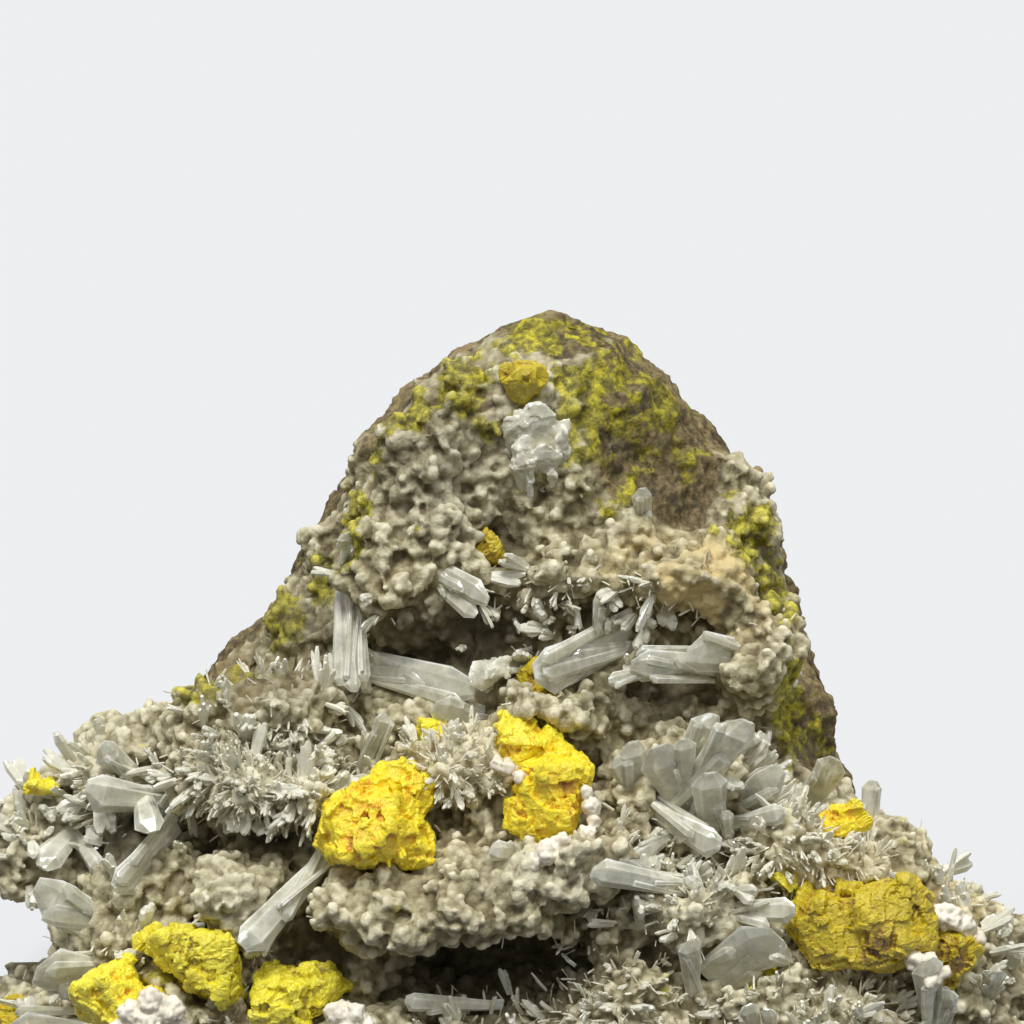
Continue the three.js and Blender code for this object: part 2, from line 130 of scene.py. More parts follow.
class Graph:
    """A node tree, of a material or of a modifier, that nodes are added to by type, settings and inputs."""

    def __init__(self, tree: bpy.types.NodeTree) -> None:
        """Wrap a node tree.

        Args:
            tree: The tree to add nodes to.
        """
        self.tree = tree

    def place(
        self, kind: str, settings: dict[str, object], inputs: dict[str | int, object]
    ) -> bpy.types.Node:
        """Add a node.

        Args:
            kind: The node's type.
            settings: Its properties, which are set before its inputs; "stops" fills a colour ramp.
            inputs: Values or links for its inputs, by name or number.

        Returns:
            The new node.
        """
        node = self.tree.nodes.new(kind)
        for name, setting in settings.items():
            if name == "stops":
                self._fill_ramp(node, setting)
            else:
                setattr(node, name, setting)
        for name, given in inputs.items():
            if isinstance(given, Value):
                self.tree.links.new(given.socket, node.inputs[name])
            else:
                node.inputs[name].default_value = given
        return node

    def add(
        self,
        kind: str,
        settings: dict[str, object] | None = None,
        inputs: dict[str | int, object] | None = None,
        output: str | int = 0,
    ) -> Value:
        """Add a node and return one of its outputs.

        Args:
            kind: The node's type.
            settings: Its properties.
            inputs: Values or links for its inputs.
            output: The output to return, by name or number.

        Returns:
            That output.
        """
        return Value(self, self.place(kind, settings or {}, inputs or {}).outputs[output])

    @staticmethod
    def _fill_ramp(node: bpy.types.Node, stops: Sequence[tuple[float, Colour]]) -> None:
        """Set a colour ramp's stops.

        Args:
            node: The ramp.
            stops: Place and colour of each stop.
        """
        ramp = node.color_ramp
        while len(ramp.elements) < len(stops):
            ramp.elements.new(0.5)
        for element, (place, colour) in zip(ramp.elements, stops):
            element.position = place
            element.color = (*colour, 1.0)


class Finish:
    """A material whose pattern lies in the piece's own coordinates."""

    def __init__(self, name: str) -> None:
        """Start an empty material.

        Args:
            name: The material's name.
        """
        self.material = bpy.data.materials.new(name)
        self.material.use_nodes = True
        self.material.node_tree.nodes.clear()
        self.graph = Graph(self.material.node_tree)
        self.place = self.graph.add("ShaderNodeTexCoord", output="Object")

    def noise(self, pitch: float, detail: float = 3.0, roughness: float = 0.55, shift: float = 0.0) -> Value:
        """Add cloudy noise.

        Args:
            pitch: Size of its patches, in metres.
            detail: Octaves of finer noise.
            roughness: Strength of the finer octaves.
            shift: Moves the pattern, so that two of one pitch differ.

        Returns:
            The noise, about 0.3 to 0.7.
        """
        moved = self.moved(shift)
        inputs = {"Vector": moved, "Scale": 1 / pitch, "Detail": detail, "Roughness": roughness}
        return self.graph.add("ShaderNodeTexNoise", {}, inputs)

    def cells(self, pitch: float, feature: str = "F1", shift: float = 0.0) -> Value:
        """Add a cell pattern's distance.

        Args:
            pitch: Size of a cell, in metres.
            feature: Which distance is taken.
            shift: Moves the pattern.

        Returns:
            The distance, in cells.
        """
        inputs = {"Vector": self.moved(shift), "Scale": 1 / pitch}
        return self.graph.add("ShaderNodeTexVoronoi", {"feature": feature}, inputs, "Distance")

    def moved(self, shift: float) -> Value:
        """Return the piece's coordinates moved by shift metres along each axis."""
        if shift == 0:
            return self.place
        return self.graph.add("ShaderNodeVectorMath", {"operation": "ADD"}, {0: self.place, 1: (shift,) * 3})

    def painted(self, attribute: str) -> Value:
        """Return a mask that was painted on the piece's corners."""
        return self.graph.add("ShaderNodeAttribute", {"attribute_name": attribute}, {}, "Fac")

    def mix(self, share: "Value | float", under: "Value | Colour", over: "Value | Colour") -> Value:
        """Lay one colour over another.

        Args:
            share: How much of the upper colour shows.
            under: The lower colour.
            over: The upper colour.

        Returns:
            The mixed colour.
        """
        inputs = {"Factor": share, "A": self._rgba(under), "B": self._rgba(over)}
        node = self.graph.place("ShaderNodeMix", {"data_type": "RGBA"}, {})
        for name, given in inputs.items():
            fitting = (s for s in node.inputs if s.name == name and s.type in ("RGBA", "VALUE"))
            socket = next(s for s in fitting if s.enabled)
            if isinstance(given, Value):
                self.graph.tree.links.new(given.socket, socket)
            else:
                socket.default_value = given
        return Value(self.graph, next(s for s in node.outputs if s.type == "RGBA"))

    def ramp(self, value: Value, stops: Sequence[tuple[float, Colour]]) -> Value:
        """Colour a value by a ramp.

        Args:
            value: What is coloured.
            stops: Place and colour of each stop.

        Returns:
            The colour.
        """
        return self.graph.add("ShaderNodeValToRGB", {"stops": stops}, {"Fac": value}, "Color")

    def bump(self, height: Value, depth: float, strength: float = 1.0, under: Value | None = None) -> Value:
        """Raise the surface's shading by a height.

        Args:
            height: The height, 0 to 1.
            depth: What a height of 1 measures, in metres.
            strength: Share of the bump that is kept.
            under: A coarser bump that this one lies on.

        Returns:
            The normal.
        """
        inputs = {"Height": height, "Distance": depth, "Strength": strength}
        if under is not None:
            inputs["Normal"] = under
        return self.graph.add("ShaderNodeBump", {}, inputs)

    def finish(self, surface: Value, volume: Value | None = None) -> None:
        """Join the shader to the material's output.

        Args:
            surface: The surface shader.
            volume: The volume shader, if there is one.
        """
        inputs = {"Surface": surface} if volume is None else {"Surface": surface, "Volume": volume}
        self.graph.place("ShaderNodeOutputMaterial", {}, inputs)

    @staticmethod
    def _rgba(colour: "Value | Colour") -> "Value | tuple[float, ...]":
        """Return a plain colour with its alpha added, or a link unchanged."""
        return colour if isinstance(colour, Value) else (*colour, 1.0)


# ---------------------------------------------------------------- finishes
class Mask(Enum):
    """What is painted on the matrix, by name of the attribute."""

    BARE = "bare_rock"
    STAIN = "sulfur_stain"
    # The hollows that are painted dark as shade.
    CAVITY = "cavity"
    PALE = "pale_druse"
    TAN = "tan_crust"
    NEEDLES = "needles"
    PRISMS = "prisms"
    GRAINS = "grains"
    KNOBS = "knobs"
    RELIEF = "relief"
    LUMPS = "lumps"


@dataclass(frozen=True)
class LimestoneFinish:
    """Knobby calcite crust over brown limestone, stained yellow-green where sulfur dust clings, with shade
    painted dark into its pits and hollows.
    """

    # The first crust colour is painted shade for the bottoms of pits; the last is for the raised tips.
    pit_shade: Colour = (0.075, 0.056, 0.024)
    crust_dark: Colour = (0.19, 0.16, 0.088)
    crust_mid: Colour = (0.43, 0.38, 0.222)
    crust_tip: Colour = (0.86, 0.80, 0.58)
    # Umber is real tone in drifting patches and painted shade in large hollows.
    umber_and_shade: Colour = (0.17, 0.125, 0.05)
    tan: Colour = (0.70, 0.56, 0.27)
    pale: Colour = (0.84, 0.795, 0.595)
    # Nearly black colour painted into hollows as shade.
    cavity: Colour = (0.055, 0.042, 0.017)
    rock_dark: Colour = (0.03, 0.022, 0.01)
    rock_mid: Colour = (0.115, 0.086, 0.036)
    rock_light: Colour = (0.31, 0.235, 0.108)
    stain_dark: Colour = (0.075, 0.066, 0.008)
    stain_mid: Colour = (0.26, 0.23, 0.011)
    stain_light: Colour = (0.72, 0.645, 0.03)
    crust_stops: tuple[float, ...] = (0.02, 0.24, 0.52, 0.95)
    rock_stops: tuple[float, ...] = (0.36, 0.5, 0.66)
    stain_stops: tuple[float, ...] = (0.42, 0.56, 0.74)
    umber_and_shade_share: float = 0.5
    tan_share: float = 0.8
    stain_share: float = 0.85
    painted_hollow_shade_share: float = 0.88

    def build(self) -> bpy.types.Material:
        """Return the material."""
        look = Finish("limestone_and_crust")
        relief = look.painted(Mask.RELIEF.value)
        blotch = look.noise(5.5 * MM)
        grain = look.noise(0.8 * MM, 4.0, shift=0.013)
        lumps = look.painted(Mask.LUMPS.value)
        # Crust colour follows relief and lumps, so pits and hollows are painted dark as shade and raised tips
        # light; blotch and grain add real tone.
        height = relief * 0.55 + lumps * 0.4 + blotch * 0.55 + grain * 0.5 - 0.47
        crust_tones = (self.pit_shade, self.crust_dark, self.crust_mid, self.crust_tip)
        crust = look.ramp(height, tuple(zip(self.crust_stops, crust_tones)))
        # Umber is laid where large hollows sink, as painted shade, and in drifting patches, as real tone.
        drift = look.noise(9.0 * MM, 3.0, 0.6, shift=0.043)
        sunk = (lumps * -1.0 + drift * 1.2).above(-0.05, 0.45)
        crust = look.mix(sunk * self.umber_and_shade_share, crust, self.umber_and_shade)
        tanned = look.painted(Mask.TAN.value) * blotch.above(0.35, 0.55)
        crust = look.mix(tanned * self.tan_share, crust, self.tan)
        # Pale druse whitens raised parts more than pits, which keeps the painted shade in the pits.
        whitened = look.painted(Mask.PALE.value) * (height.above(0.1, 0.65) * 0.75 + 0.08)
        crust = look.mix(whitened, crust, self.pale)
        rock_grain = look.noise(1.1 * MM, 5.0, 0.7, shift=0.031)
        rock_tones = (self.rock_dark, self.rock_mid, self.rock_light)
        # Relief darkens the rock slightly in its pits: painted shade.
        rock_height = rock_grain * 0.8 + relief * 0.12 + drift * 0.5 - 0.15
        rock = look.ramp(rock_height, tuple(zip(self.rock_stops, rock_tones)))
        bare = look.painted(Mask.BARE.value) + (look.noise(3.0 * MM, 4.0, shift=0.05) - 0.5) * 1.3
        colour = look.mix(bare.above(0.38, 0.58), crust, rock)
        patch = look.noise(3.4 * MM, 6.0, 0.66, shift=0.071)
        stain_tones = (self.stain_dark, self.stain_mid, self.stain_light)
        dust = look.noise(1.4 * MM, 5.0, 0.7, shift=0.09)
        # Relief darkens the stain slightly in its pits: painted shade.
        stain = look.ramp(dust * 1.2 + relief * 0.16 - 0.1, tuple(zip(self.stain_stops, stain_tones)))
        stained = (look.painted(Mask.STAIN.value) + (patch - 0.5) * 3.2).above(0.4, 0.7)
        colour = look.mix(stained * self.stain_share, colour, stain)
        # Hollows listed as zones are painted nearly black: painted shade.
        hollow = look.painted(Mask.CAVITY.value)
        colour = look.mix(hollow * self.painted_hollow_shade_share, colour, self.cavity)
        coarse = look.bump(look.noise(0.7 * MM, 5.0, 0.62), 0.32 * MM, 0.7)
        fine = look.bump(look.cells(0.34 * MM, shift=0.02), 0.09 * MM, 0.5, coarse)
        inputs = {
            "Base Color": colour,
            "Roughness": grain * 0.35 + 0.5,
            "Normal": fine,
            "Specular IOR Level": 0.4,
            "Subsurface Weight": 0.12,
            "Subsurface Radius": (1.0, 0.9, 0.65),
            "Subsurface Scale": 0.5 * MM,
        }
        look.finish(look.graph.add("ShaderNodeBsdfPrincipled", {}, inputs))
        return look.material


class SulfurTone(Enum):
    """How a sulfur crystal is coloured: its fresh colour and its darker worn and deep colours, the darker two
    also painted as shade into its recesses.
    """

    LEMON = ((1.0, 0.80, 0.02), (0.92, 0.56, 0.008), (0.44, 0.16, 0.003))
    AMBER = ((1.0, 0.86, 0.045), (1.0, 0.68, 0.014), (0.64, 0.26, 0.004))
    LIME = ((0.92, 0.81, 0.045), (0.66, 0.53, 0.012), (0.16, 0.11, 0.004))
    OCHRE = ((0.64, 0.50, 0.006), (0.40, 0.23, 0.004), (0.09, 0.04, 0.002))


@dataclass(frozen=True)
class SulfurFinish:
    """Etched, resinous sulfur, painted darker in its recesses as shade."""

    tone: SulfurTone
    film: Colour = (0.62, 0.52, 0.30)
    film_share: float = 0.15
    stops: tuple[float, ...] = (0.12, 0.44, 0.72)

    def build(self) -> bpy.types.Material:
        """Return the material."""
        fresh, worn_and_shaded, deep = self.tone.value
        look = Finish(f"sulfur_{self.tone.name.lower()}")
        relief = look.painted(Mask.RELIEF.value)
        patch = look.noise(3.2 * MM, 5.0, 0.62)
        grain = look.noise(0.36 * MM, 4.0, 0.65, shift=0.02)
        # Recesses take the worn and deep colours as painted shade; the patches vary the tone for real.
        height = relief * 1.0 + patch * 2.2 + grain * 1.0 - 1.38
        colour = look.ramp(height, tuple(zip(self.stops, (deep, worn_and_shaded, fresh))))
        film = look.noise(1.5 * MM, 5.0, 0.7, shift=0.05).above(0.57, 0.68)
        colour = look.mix(film * grain.above(0.4, 0.6) * self.film_share, colour, self.film)
        coarse = look.bump(look.noise(0.4 * MM, 6.0, 0.75, shift=0.01), 0.22 * MM, 0.6)
        fine = look.bump(look.cells(0.3 * MM, shift=0.03).above(0.05, 0.5), 0.07 * MM, 0.6, coarse)
        inputs = {
            "Base Color": colour,
            "Roughness": grain * 0.5 + 0.06,
            "Normal": fine,
            "IOR": 1.9,
            "Specular IOR Level": 0.36,
            "Subsurface Weight": 0.2,
            "Subsurface Radius": (1.0, 0.8, 0.1),
            "Subsurface Scale": 0.5 * MM,
        }
        look.finish(look.graph.add("ShaderNodeBsdfPrincipled", {}, inputs))
        return look.material


@dataclass(frozen=True)
class CelestineFinish:
    """Clear to milky celestine: the milk lies near the root, the tips are clear; edges and faces seen edge-on
    are painted whiter as highlight and sheen.
    """

    name: str
    tint: Colour = (0.99, 0.985, 0.88)
    milk: Colour = (1.0, 0.98, 0.80)
    haze: Colour = (0.92, 0.90, 0.71)
    # Whiter colour painted on convex edges as highlight.
    edge_highlight_tint: Colour = (1.0, 0.99, 0.92)
    depth_tint: Colour = (0.74, 0.82, 0.76)
    tip_milk: float = 0.46
    root_milk: float = 0.86
    # How much milkier faces seen edge-on turn: painted sheen.
    grazing_sheen_milk: float = 0.3
    clear_roughness: float = 0.02
    milky_roughness: float = 0.02
    refraction: float = 1.62
    absorption: float = 8.0

    def build(self) -> bpy.types.Material:
        """Return the material."""
        look = Finish(self.name)
        veil = look.noise(2.2 * MM, 4.0, 0.6)
        fine = look.noise(0.45 * MM, 3.0, shift=0.04)
        ripple = look.bump(look.noise(0.6 * MM, 3.0, 0.6, shift=0.02), 0.04 * MM, 0.5)
        # Convex edges are painted whiter and milkier: painted highlight.
        edge = look.graph.add("ShaderNodeNewGeometry", output="Pointiness").above(0.52, 0.6)
        clear = {
            "Base Color": (*self.tint, 1.0),
            "Roughness": fine * 0.2 + self.clear_roughness,
            "Normal": ripple,
            "IOR": self.refraction,
            "Transmission Weight": 1.0,
        }
        milk = look.mix(veil.above(0.35, 0.65), self.haze, self.milk)
        milky = {
            "Base Color": look.mix(edge, milk, self.edge_highlight_tint),
            "Roughness": fine * 0.2 + self.milky_roughness,
            "Normal": ripple,
            "IOR": self.refraction,
            "Subsurface Weight": 0.3,
            "Subsurface Radius": (1.0, 1.0, 0.9),
            "Subsurface Scale": 0.4 * MM,
        }
        root = look.painted("root")
        # Faces seen at a grazing angle turn milkier: painted sheen.
        rim = look.graph.add("ShaderNodeLayerWeight", {}, {"Blend": 0.5}, "Facing")
        milkiness = self.tip_milk + root * (self.root_milk - self.tip_milk) + (veil - 0.5) * 0.9
        share = milkiness + rim * rim * self.grazing_sheen_milk + edge * 0.5
        shaders = {
            0: share,
            1: look.graph.add("ShaderNodeBsdfPrincipled", {}, clear),
            2: look.graph.add("ShaderNodeBsdfPrincipled", {}, milky),
        }
        depth = {"Color": (*self.depth_tint, 1.0), "Density": self.absorption}
        volume = look.graph.add("ShaderNodeVolumeAbsorption", {}, depth)
        look.finish(look.graph.add("ShaderNodeMixShader", {}, shaders), volume)
        return look.material


@dataclass(frozen=True)
class DruseFinish:
    """Fine drusy crystals, whiter than the large ones."""

    name: str
    light: Colour = (0.98, 0.955, 0.84)
    dark: Colour = (0.82, 0.785, 0.64)
    clear: float = 0.0
    roughness: float = 0.08

    def build(self) -> bpy.types.Material:
        """Return the material."""
        look = Finish(self.name)
        patch = look.noise(3.4 * MM, 3.0)
        fine = look.noise(0.6 * MM, 2.0, shift=0.02)
        colour = look.ramp(patch * 0.6 + fine * 0.4, ((0.38, self.dark), (0.56, self.light)))
        inputs = {
            "Base Color": colour,
            "Roughness": fine * 0.2 + self.roughness,
            "Normal": look.bump(look.noise(0.4 * MM, 4.0, 0.6, shift=0.03), 0.1 * MM, 0.6),
            "IOR": 1.6,
            "Transmission Weight": self.clear,
        }
        look.finish(look.graph.add("ShaderNodeBsdfPrincipled", {}, inputs))
        return look.material


@dataclass(frozen=True)
class FloorFinish:
    """The plain pale floor."""

    pale: Colour = (0.659, 0.667, 0.673)

    def build(self) -> bpy.types.Material:
        """Return the material."""
        look = Finish("pale_floor")
        inputs = {"Base Color": (*self.pale, 1.0), "Roughness": 0.9, "Specular IOR Level": 0.0}
        look.finish(look.graph.add("ShaderNodeBsdfPrincipled", {}, inputs))
        return look.material


# ---------------------------------------------------------------- bench tools
class Bench:
    """The handling that every piece needs: selecting, copying, applying and declaring."""

    @staticmethod
    def only(piece: bpy.types.Object) -> None:
        """Select and activate one piece alone.

        Args:
            piece: The piece to work on.
        """
        bpy.ops.object.select_all(action="DESELECT")
        piece.hide_set(False)
        piece.select_set(True)
        bpy.context.view_layer.objects.active = piece

    @staticmethod
    def copy(name: str, *sources: bpy.types.Object) -> bpy.types.Object:
        """Copy pieces into one new piece with a mesh of its own, its doubled corners merged.

        Args:
            name: The new piece's name.
            sources: What is copied.

        Returns:
            The new piece.
        """
        copies = []
        for source in sources:
            twin = source.copy()
            twin.data = source.data.copy()
            twin.parent = None
            twin.matrix_world = source.matrix_world.copy()
            bpy.context.scene.collection.objects.link(twin)
            twin.data.materials.clear()
            copies.append(twin)
        Bench.only(copies[0])
        for twin in copies[1:]:
            twin.select_set(True)
        if len(copies) > 1:
            bpy.ops.object.join()
        piece = bpy.context.view_layer.objects.active
        piece.name = name
        bpy.ops.object.mode_set(mode="EDIT")
        bpy.ops.mesh.select_all(action="SELECT")
        bpy.ops.mesh.remove_doubles(threshold=1e-6)
        bpy.ops.object.mode_set(mode="OBJECT")
        return piece

    @staticmethod
    def twin(piece: bpy.types.Object, name: str) -> bpy.types.Object:
        """Return a copy of a piece with a mesh of its own, corner for corner."""
        other = piece.copy()
        other.data = piece.data.copy()
        other.name = name
        bpy.context.scene.collection.objects.link(other)
        return other

    @staticmethod
    def relief(piece: bpy.types.Object, rounds: int) -> np.ndarray:
        """Say how far each corner stands out from the same surface smoothed over.

        Args:
            piece: The piece.
            rounds: Rounds of smoothing.

        Returns:
            The height in millimetres, below 0 in pits.
        """
        calm = Bench.twin(piece, "smoothed")
        Bench.shape(calm, "SMOOTH", factor=0.5, iterations=rounds)
        outward = np.empty(len(calm.data.vertices) * 3, np.float32)
        calm.data.vertices.foreach_get("normal", outward)
        height = np.sum((Bench.corners(piece) - Bench.corners(calm)) * outward.reshape(-1, 3), axis=1)
        bpy.data.objects.remove(calm)
        return height

    @staticmethod
    def shape(piece: bpy.types.Object, kind: str, **settings: object) -> None:
        """Put a modifier on a piece and apply it.

        Args:
            piece: The piece to shape.
            kind: The modifier's type.
            settings: The modifier's properties.
        """
        Bench.only(piece)
        modifier = piece.modifiers.new(kind.title(), kind)
        for name, setting in settings.items():
            setattr(modifier, name, setting)
        bpy.ops.object.modifier_apply(modifier=modifier.name)

    @staticmethod
    def dress(piece: bpy.types.Object, material: bpy.types.Material, smooth: bool) -> None:
        """Give a piece its material and its shading.

        Args:
            piece: The piece to dress.
            material: Its material.
            smooth: True for a rounded surface.
        """
        piece.data.materials.clear()
        piece.data.materials.append(material)
        Bench.only(piece)
        if smooth:
            bpy.ops.object.shade_smooth()
        else:
            bpy.ops.object.shade_flat()

    @staticmethod
    def declare(piece: bpy.types.Object, slot: str, *nodes: str) -> None:
        """Tie a finished piece to the frame.

        Args:
            piece: The finished piece.
            slot: Not used.
            nodes: The nodes that it stands for.
        """
        if nodes:
            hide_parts(*nodes)
        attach(piece, "root")
        LOG.info("%s: %d faces", piece.name, len(piece.data.polygons))

    @staticmethod
    def corners(piece: bpy.types.Object) -> np.ndarray:
        """Return the places of a piece's corners, in millimetres, one row each."""
        flat = np.empty(len(piece.data.vertices) * 3, np.float32)
        piece.data.vertices.foreach_get("co", flat)
        return flat.reshape(-1, 3) / MM

    @staticmethod
    def paint(piece: bpy.types.Object, name: str, weights: np.ndarray) -> None:
        """Store a mask on a piece's corners.

        Args:
            piece: The piece.
            name: The mask's name.
            weights: One number for each corner.
        """
        layer = piece.data.attributes.get(name) or piece.data.attributes.new(name, "FLOAT", "POINT")
        layer.data.foreach_set("value", weights.astype(np.float32))

    @staticmethod
    def group(piece: bpy.types.Object, name: str, weights: np.ndarray, steps: int = 20) -> None:
        """Store a mask as a vertex group, in a few steps of weight, for a modifier to read.

        Args:
            piece: The piece.
            name: The group's name.
            weights: One number for each corner, 0 to 1.
            steps: How many weights are told apart.
        """
        layer = piece.vertex_groups.new(name=name)
        stepped = np.rint(np.clip(weights, 0, 1) * steps).astype(int)
        for step in range(1, steps + 1):
            chosen = np.flatnonzero(stepped == step)
            if len(chosen):
                layer.add(chosen.tolist(), step / steps, "REPLACE")


BLOCKS = {"color_mode": "POSITION", "distance_metric": "CHEBYCHEV"}
FACETS = {"distance_metric": "CHEBYCHEV"}
DOMES = {"distance_metric": "DISTANCE_SQUARED"}


@dataclass(frozen=True)
class Emboss:
    """Relief that a noise texture presses into a surface."""

    kind: str
    pitch: float
    depth: float
    middle: float = 0.5
    traits: dict[str, object] = field(default_factory=dict)

    def press(self, piece: bpy.types.Object, **more: object) -> None:
        """Press the relief into a piece.

        Args:
            piece: The piece.
            more: Further properties of the Displace modifier, such as the area that it is kept to.
        """
        texture = bpy.data.textures.new("relief", self.kind)
        texture.noise_scale = self.pitch
        for name, trait in self.traits.items():
            setattr(texture, name, trait)
        settings = {"texture": texture, "texture_coords": "LOCAL", "strength": self.depth}
        Bench.shape(piece, "DISPLACE", mid_level=self.middle, **settings, **more)


@dataclass(frozen=True)
class Zone:
    """An egg-shaped part of the specimen, in millimetres."""

    at: Triple
    half: Triple
    fade: float = 0.4
    amount: float = 1.0

    def weight(self, corners: np.ndarray) -> np.ndarray:
        """Weigh corners by how deep they lie in the zone.

        Args:
            corners: Places in millimetres.

        Returns:
            The amount inside, fading to 0 at the edge.
        """
        reach = np.linalg.norm((corners - np.array(self.at)) / np.array(self.half), axis=1)
        return np.clip((1 - reach) / self.fade, 0, 1) * self.amount


def strongest(zones: Sequence[Zone], corners: np.ndarray) -> np.ndarray:
    """Weigh corners by the zone that holds them most.

    Args:
        zones: The zones.
        corners: Places in millimetres.

    Returns:
        One weight for each corner.
    """
    return np.max([zone.weight(corners) for zone in zones], axis=0)


def fade(values: np.ndarray, low: float, high: float) -> np.ndarray:
    """Fade smoothly from 0 at low to 1 at high.

    Args:
        values: What is faded.
        low: Value that gives 0.
        high: Value that gives 1.

    Returns:
        The faded values.
    """
    share = np.clip((values - low) / (high - low), 0, 1)
    return share * share * (3 - 2 * share)


# ---------------------------------------------------------------- small crystals
@dataclass(frozen=True)
class CrystalPattern:
    """A small crystal one millimetre long that a scatter repeats, its root at the origin."""

    name: str
    sides: int
    width: float
    flatness: float
    tip: float
    crown: tuple[float, float]

    def model(self) -> bpy.types.Object:
        """Model the crystal: a prism whose end is drawn up to a chisel.

        Returns:
            The crystal.
        """
        bpy.ops.object.select_all(action="DESELECT")
        shaft = (1 - self.tip) * MM
        bpy.ops.mesh.primitive_cylinder_add(
            vertices=self.sides, radius=self.width / 2 * MM, depth=shaft, location=(0, 0, shaft / 2)
        )
        piece = bpy.context.view_layer.objects.active
        piece.name = self.name
        bpy.ops.object.transform_apply(location=True, rotation=True, scale=True)
        bpy.ops.object.mode_set(mode="EDIT")
        bpy.ops.mesh.select_all(action="SELECT")
        bpy.ops.transform.resize(value=(1, self.flatness, 1), center_override=(0, 0, 0))
        bpy.ops.mesh.select_all(action="DESELECT")
        bpy.ops.object.mode_set(mode="OBJECT")
        for face in piece.data.polygons:
            face.select = face.normal.z > 0.9
        bpy.ops.object.mode_set(mode="EDIT")
        bpy.ops.mesh.extrude_region_move(TRANSFORM_OT_translate={"value": (0, 0, self.tip * MM)})
        bpy.ops.transform.resize(value=(*self.crown, 1), center_override=(0, 0, MM))
        bpy.ops.object.mode_set(mode="OBJECT")
        return piece


@dataclass(frozen=True)
class SprayPattern:
    """Several small crystals that stand out from one root."""

    name: str
    crystal: CrystalPattern
    count: int
    spread: float
    seed: int

    def model(self) -> bpy.types.Object:
        """Model the spray: one crystal is copied, turned and shortened, and the copies are joined.

        Returns:
            The spray.
        """
        chance = np.random.default_rng(self.seed)
        first = self.crystal.model()
        first.name = self.name
        members = [first]
        for number in range(1, self.count):
            twin = first.copy()
            twin.data = first.data.copy()
            bpy.context.scene.collection.objects.link(twin)
            lean = self.spread * math.sqrt(number / self.count)
            turn = number * 2.4 + chance.uniform(-0.4, 0.4)
            twin.rotation_euler = Euler((lean * math.cos(turn), lean * math.sin(turn), chance.uniform(0, 6)))
            twin.scale = (*(chance.uniform(0.7, 1.15),) * 2, chance.uniform(0.5, 1.0))
            members.append(twin)
        Bench.only(first)
        for member in members:
            member.select_set(True)
        bpy.ops.object.transform_apply(location=True, rotation=True, scale=True)
        bpy.ops.object.join()
        return first


@dataclass(frozen=True)
class KnobPattern:
    """A round knob one millimetre in radius that the crust repeats."""

    name: str = "knob"
    squash: float = 0.92
    lift: float = 0.2
    foot: float = 0.3
    uneven: float = 0.7
    wave: float = 1.1

    def model(self) -> bpy.types.Object:
        """Return the knob: a ball made uneven and cut off flat below its root."""
        bpy.ops.object.select_all(action="DESELECT")
        bpy.ops.mesh.primitive_ico_sphere_add(subdivisions=2, radius=MM, location=(0, 0, 0))
        piece = bpy.context.view_layer.objects.active
        piece.name = self.name
        Emboss("CLOUDS", self.wave * MM, self.uneven * MM).press(piece)
        bpy.ops.object.mode_set(mode="EDIT")
        bpy.ops.mesh.select_all(action="SELECT")
        bpy.ops.transform.resize(value=(1, 1, self.squash), center_override=(0, 0, 0))
        bpy.ops.transform.translate(value=(0, 0, self.lift * MM))
        foot = (0, 0, -self.foot * MM)
        bpy.ops.mesh.bisect(plane_co=foot, plane_no=(0, 0, 1), use_fill=True, clear_inner=True)
        bpy.ops.object.mode_set(mode="OBJECT")
        return piece


